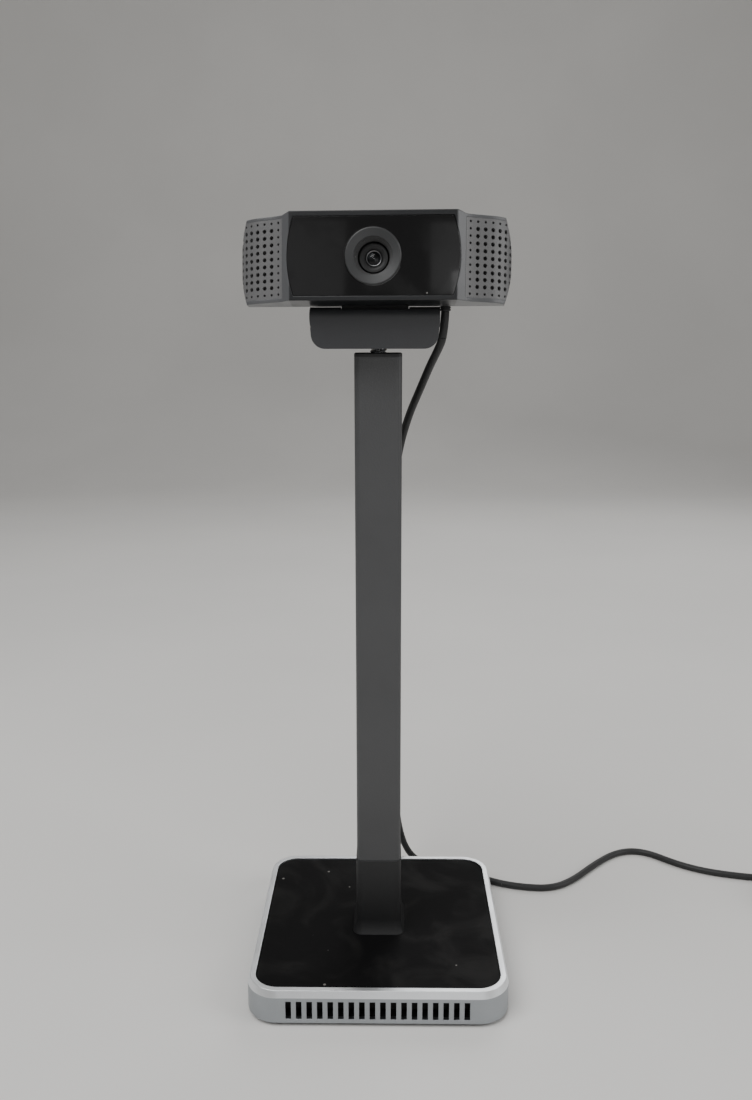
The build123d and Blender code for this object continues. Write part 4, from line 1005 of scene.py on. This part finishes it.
class WEBCAM_OT_head(bpy.types.Operator):
    """Finishes the camera head: frame, perforated wings, cloths, gloss panel, rear cover and inner parts"""

    bl_idname = "webcam.head"
    bl_label = "Camera Head"

    def execute(self, context):
        tints = context.scene.webcam_finish
        # The frame's lighter edges are partly rubbed and partly a painted highlight.
        bezel = make_finish(
            "Frame Plastic", tints.bezel, 0.34, grain=3600.0, variety=0.08, edge=0.0005,
            edge_light=2.3, edge_amount=0.55, specks=0.02,
        )
        rear = make_finish(
            "Rear Plastic", (0.024, 0.0245, 0.026), 0.36, grain=3600.0, depth=0.00003, variety=0.08,
            edge_light=2.2, edge_amount=0.3, specks=0.02, smudge=0.12,
        )
        # The grille's edges are darkened: a seam line along its outline, and painted shade round the rims of
        # its holes.
        grille = make_finish(
            "Grille Plastic", tints.grille, 0.42, grain=3600.0, depth=0.00003, variety=0.06, edge=0.00016,
            edge_light=0.25, edge_amount=0.75, specks=0.015,
        )
        board = make_finish(
            "Circuit Board", (0.012, 0.060, 0.030), 0.35, grain=900.0, depth=0.00003, variety=0.35, coat=0.3
        )
        sensor = make_finish("Sensor Window", (0.02, 0.02, 0.04), 0.08, depth=0.000002, coat=0.8, variety=0.2)
        pipes = make_finish("Light Pipes", (0.55, 0.56, 0.58), 0.22, depth=0.000005, variety=0.05)
        mic = make_finish("Microphone Rubber", (0.014, 0.014, 0.014), 0.7, grain=1500.0, depth=0.00004)
        self.add_strips(bezel, context)
        dress(bezel, "front_frame")
        dress(rear, "rear_cover")
        dress(grille, "grille_left", "grille_right")
        dress(make_cloth("Acoustic Cloth", (0.005, 0.005, 0.005), 2600.0), "cloth_left", "cloth_right")
        dress(self.make_gloss(tints.panel), "face_panel")
        dress(board, "main_board")
        dress(sensor, "image_sensor")
        dress(pipes, "light_pipes")
        dress(mic, "microphones")
        return {"FINISHED"}

    def add_strips(self, material, context):
        """Darkens the frame's strips over and under the panel, between its paler side bands."""
        middle = head_place(context.scene.webcam_fittings) @ Vector((0.0, -0.0118, 0.0))
        tree = material.node_tree
        target = tree.nodes["Principled BSDF"].inputs["Base Color"]
        plain = target.links[0].from_socket
        place = place_node(tree, "ShaderNodeTexCoord").outputs["Object"]
        across = place_node(tree, "ShaderNodeSeparateXYZ", Vector=place).outputs["X"]
        away = calc(tree, "ABSOLUTE", calc(tree, "SUBTRACT", across, middle.x))
        inside = map_range(tree, away, STRIP_HALF_WIDTH - SOFT_STEP, STRIP_HALF_WIDTH + SOFT_STEP, 1.0, 0.0)
        strip = opaque(context.scene.webcam_finish.strip, 1.0 / FRAME_TINT_SCALE)
        dark = blend_colours(tree, 1.0, plain, strip, "MULTIPLY")
        tree.links.new(blend_colours(tree, inside, plain, dark), target)

    def make_gloss(self, tint):
        """Gloss black with faint polishing marks, a few specks, and prints where it has been touched."""
        material, tree, shader = blank_material("Gloss Panel")
        surface = use_group(tree, "Fine Grain", Scale=700.0, Drift_Scale=30.0)
        dirt = use_group(tree, "Dust and Smudges", Speck_Scale=300.0, Speck_Share=0.035, Smudge_Scale=48.0)
        toned = blend_colours(tree, surface["Drift"], opaque(tint, 0.8), opaque(tint, 1.4))
        specks = calc(tree, "MULTIPLY", dirt["Specks"], 0.5)
        dusted = blend_colours(tree, specks, toned, (0.30, 0.29, 0.27, 1.0))
        tree.links.new(dusted, shader.inputs["Base Color"])
        smeared = calc(tree, "ADD", calc(tree, "MULTIPLY", dirt["Smudges"], 0.12), 0.05)
        tree.links.new(calc(tree, "ADD", smeared, specks), shader.inputs["Roughness"])
        softened = place_node(tree, "ShaderNodeBevel", {"samples": 6}, Radius=0.0004)
        bump = place_node(
            tree, "ShaderNodeBump", Strength=0.25, Distance=0.000004, Height=surface["Height"],
            Normal=softened.outputs[0],
        )
        tree.links.new(bump.outputs[0], shader.inputs["Normal"])
        shader.inputs["Coat Weight"].default_value = 0.35
        shader.inputs["Coat Roughness"].default_value = 0.03
        return material


class WEBCAM_OT_lens(bpy.types.Operator):
    """Makes the lens's baffle steps, retaining rings and iris, and finishes its ring, barrel and glasses"""

    bl_idname = "webcam.lens"
    bl_label = "Lens"

    def execute(self, context):
        settings = context.scene.webcam_fittings
        tints = context.scene.webcam_finish
        ring = make_finish(
            "Ring Plastic", tints.ring, 0.40, grain=3600.0, variety=0.08, edge=0.00025,
            edge_light=1.9, edge_amount=0.6, specks=0.02,
        )
        black = make_finish(
            "Baffle Black", (0.010, 0.010, 0.0105), 0.55, grain=3600.0, depth=0.00001, variety=0.15,
            edge=0.0001, edge_light=3.5,
        )
        cone_tone = make_finish(
            "Cone Plastic", (0.026, 0.026, 0.0265), 0.45, grain=3600.0, depth=0.00001, variety=0.1,
            edge=0.0001, edge_light=2.4,
        )
        bright = make_finish(
            "Retainer Metal", (0.34, 0.34, 0.35), 0.30, metal=1.0, grain=2400.0, depth=0.000005, variety=0.06,
            edge=0.0001, edge_light=1.4,
        )
        dress(ring, "lens_ring")
        dress(black, "lens_barrel", "lens_holder")
        dress(make_glass("Coated Glass", (0.42, 0.45, 0.47)), "front_glass", "rear_glass")
        axis = (
            head_place(settings)
            @ Matrix.Translation(Vector((0.0, 0.0, settings.lens_height)))
            @ Matrix.Rotation(-pi / 2.0, 4, "X")
        )
        self.add_ring("lens_baffle", self.baffle_profile(settings), axis, cone_tone, "head", "lens_cone")
        trim = [
            (0.00235, -0.00742), (0.00238, -0.00758), (0.00252, -0.00764), (0.00262, -0.00752),
            (0.00262, -0.0073),
        ]
        self.add_ring("glass_retainer", trim, axis, bright, "lens")
        rib = [
            (0.00300, -0.00772), (0.00312, -0.00788), (0.00324, -0.00776), (0.00338, -0.00792),
            (0.00350, -0.00784), (0.00364, -0.00802), (0.00376, -0.00796), (0.00388, -0.00812),
            (0.00400, -0.00816),
        ]
        self.add_ring("barrel_rings", rib, axis, black, "lens")
        iris = [
            (0.00005, -0.00480), (0.00075, -0.00485), (0.0008, -0.00490), (0.00235, -0.00492),
            (0.00240, -0.0048),
        ]
        self.add_ring("iris_blades", iris, axis, black, "lens")
        return {"FINISHED"}

    def baffle_profile(self, settings):
        """A cone cut into fine steps that keep stray light out of the lens."""
        wide, narrow = 0.00655, 0.00545
        front, back = -0.01130, -0.00850
        profile = [(wide, front)]
        for step in range(settings.cone_steps):
            share = (step + 1) / settings.cone_steps
            radius = wide + (narrow - wide) * share
            level = front + (back - front) * share
            profile.append((radius, profile[-1][1] + 0.00004))
            profile.append((radius + 0.00004, level))
        profile.append((narrow, back + 0.0001))
        return profile

    def add_ring(self, name, profile, axis, material, body, *stands_for):
        """One turned ring about the lens's axis."""
        piece = add_piece(name, turned_mesh(name, profile, 72, axis), material)
        edge_sharpen(piece, 25.0)
        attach(piece, body)
        if stands_for:
            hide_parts(*stands_for)


# ---------------------------------------------------------------- panel and registration
class WEBCAM_PT_panel(bpy.types.Panel):
    """Lists the stand's operators and settings"""

    bl_label = "Webcam Stand"
    bl_idname = "WEBCAM_PT_panel"
    bl_space_type = "VIEW_3D"
    bl_region_type = "UI"
    bl_category = "Webcam Stand"

    def draw(self, context):
        layout = self.layout
        for operator in OPERATORS:
            layout.operator(operator.bl_idname)
        for owner in SETTINGS:
            box = layout.box()
            group = getattr(context.scene, owner)
            for key in group.bl_rna.properties.keys():
                if key not in ("rna_type", "name"):
                    box.prop(group, key)


SETTINGS = {
    "webcam_stage": StageSettings,
    "webcam_lead": LeadSettings,
    "webcam_fittings": FittingSettings,
    "webcam_finish": FinishSettings,
}
OPERATORS = (
    WEBCAM_OT_stage,
    WEBCAM_OT_lead_fittings,
    WEBCAM_OT_lead,
    WEBCAM_OT_plug,
    WEBCAM_OT_base,
    WEBCAM_OT_fixings,
    WEBCAM_OT_post,
    WEBCAM_OT_clip,
    WEBCAM_OT_head,
    WEBCAM_OT_lens,
)


def register():
    """Registers the settings, the operators and the panel."""
    for name, group in SETTINGS.items():
        bpy.utils.register_class(group)
        setattr(bpy.types.Scene, name, PointerProperty(type=group))
    for operator in OPERATORS:
        bpy.utils.register_class(operator)
    bpy.utils.register_class(WEBCAM_PT_panel)


def unregister():
    """Removes what register added."""
    bpy.utils.unregister_class(WEBCAM_PT_panel)
    for operator in reversed(OPERATORS):
        bpy.utils.unregister_class(operator)
    for name, group in SETTINGS.items():
        delattr(bpy.types.Scene, name)
        bpy.utils.unregister_class(group)


def main():
    """Builds everything in order."""
    register()
    for operator in OPERATORS:
        group, name = operator.bl_idname.split(".")
        getattr(getattr(bpy.ops, group), name)()


if __name__ == "__main__":
    main()
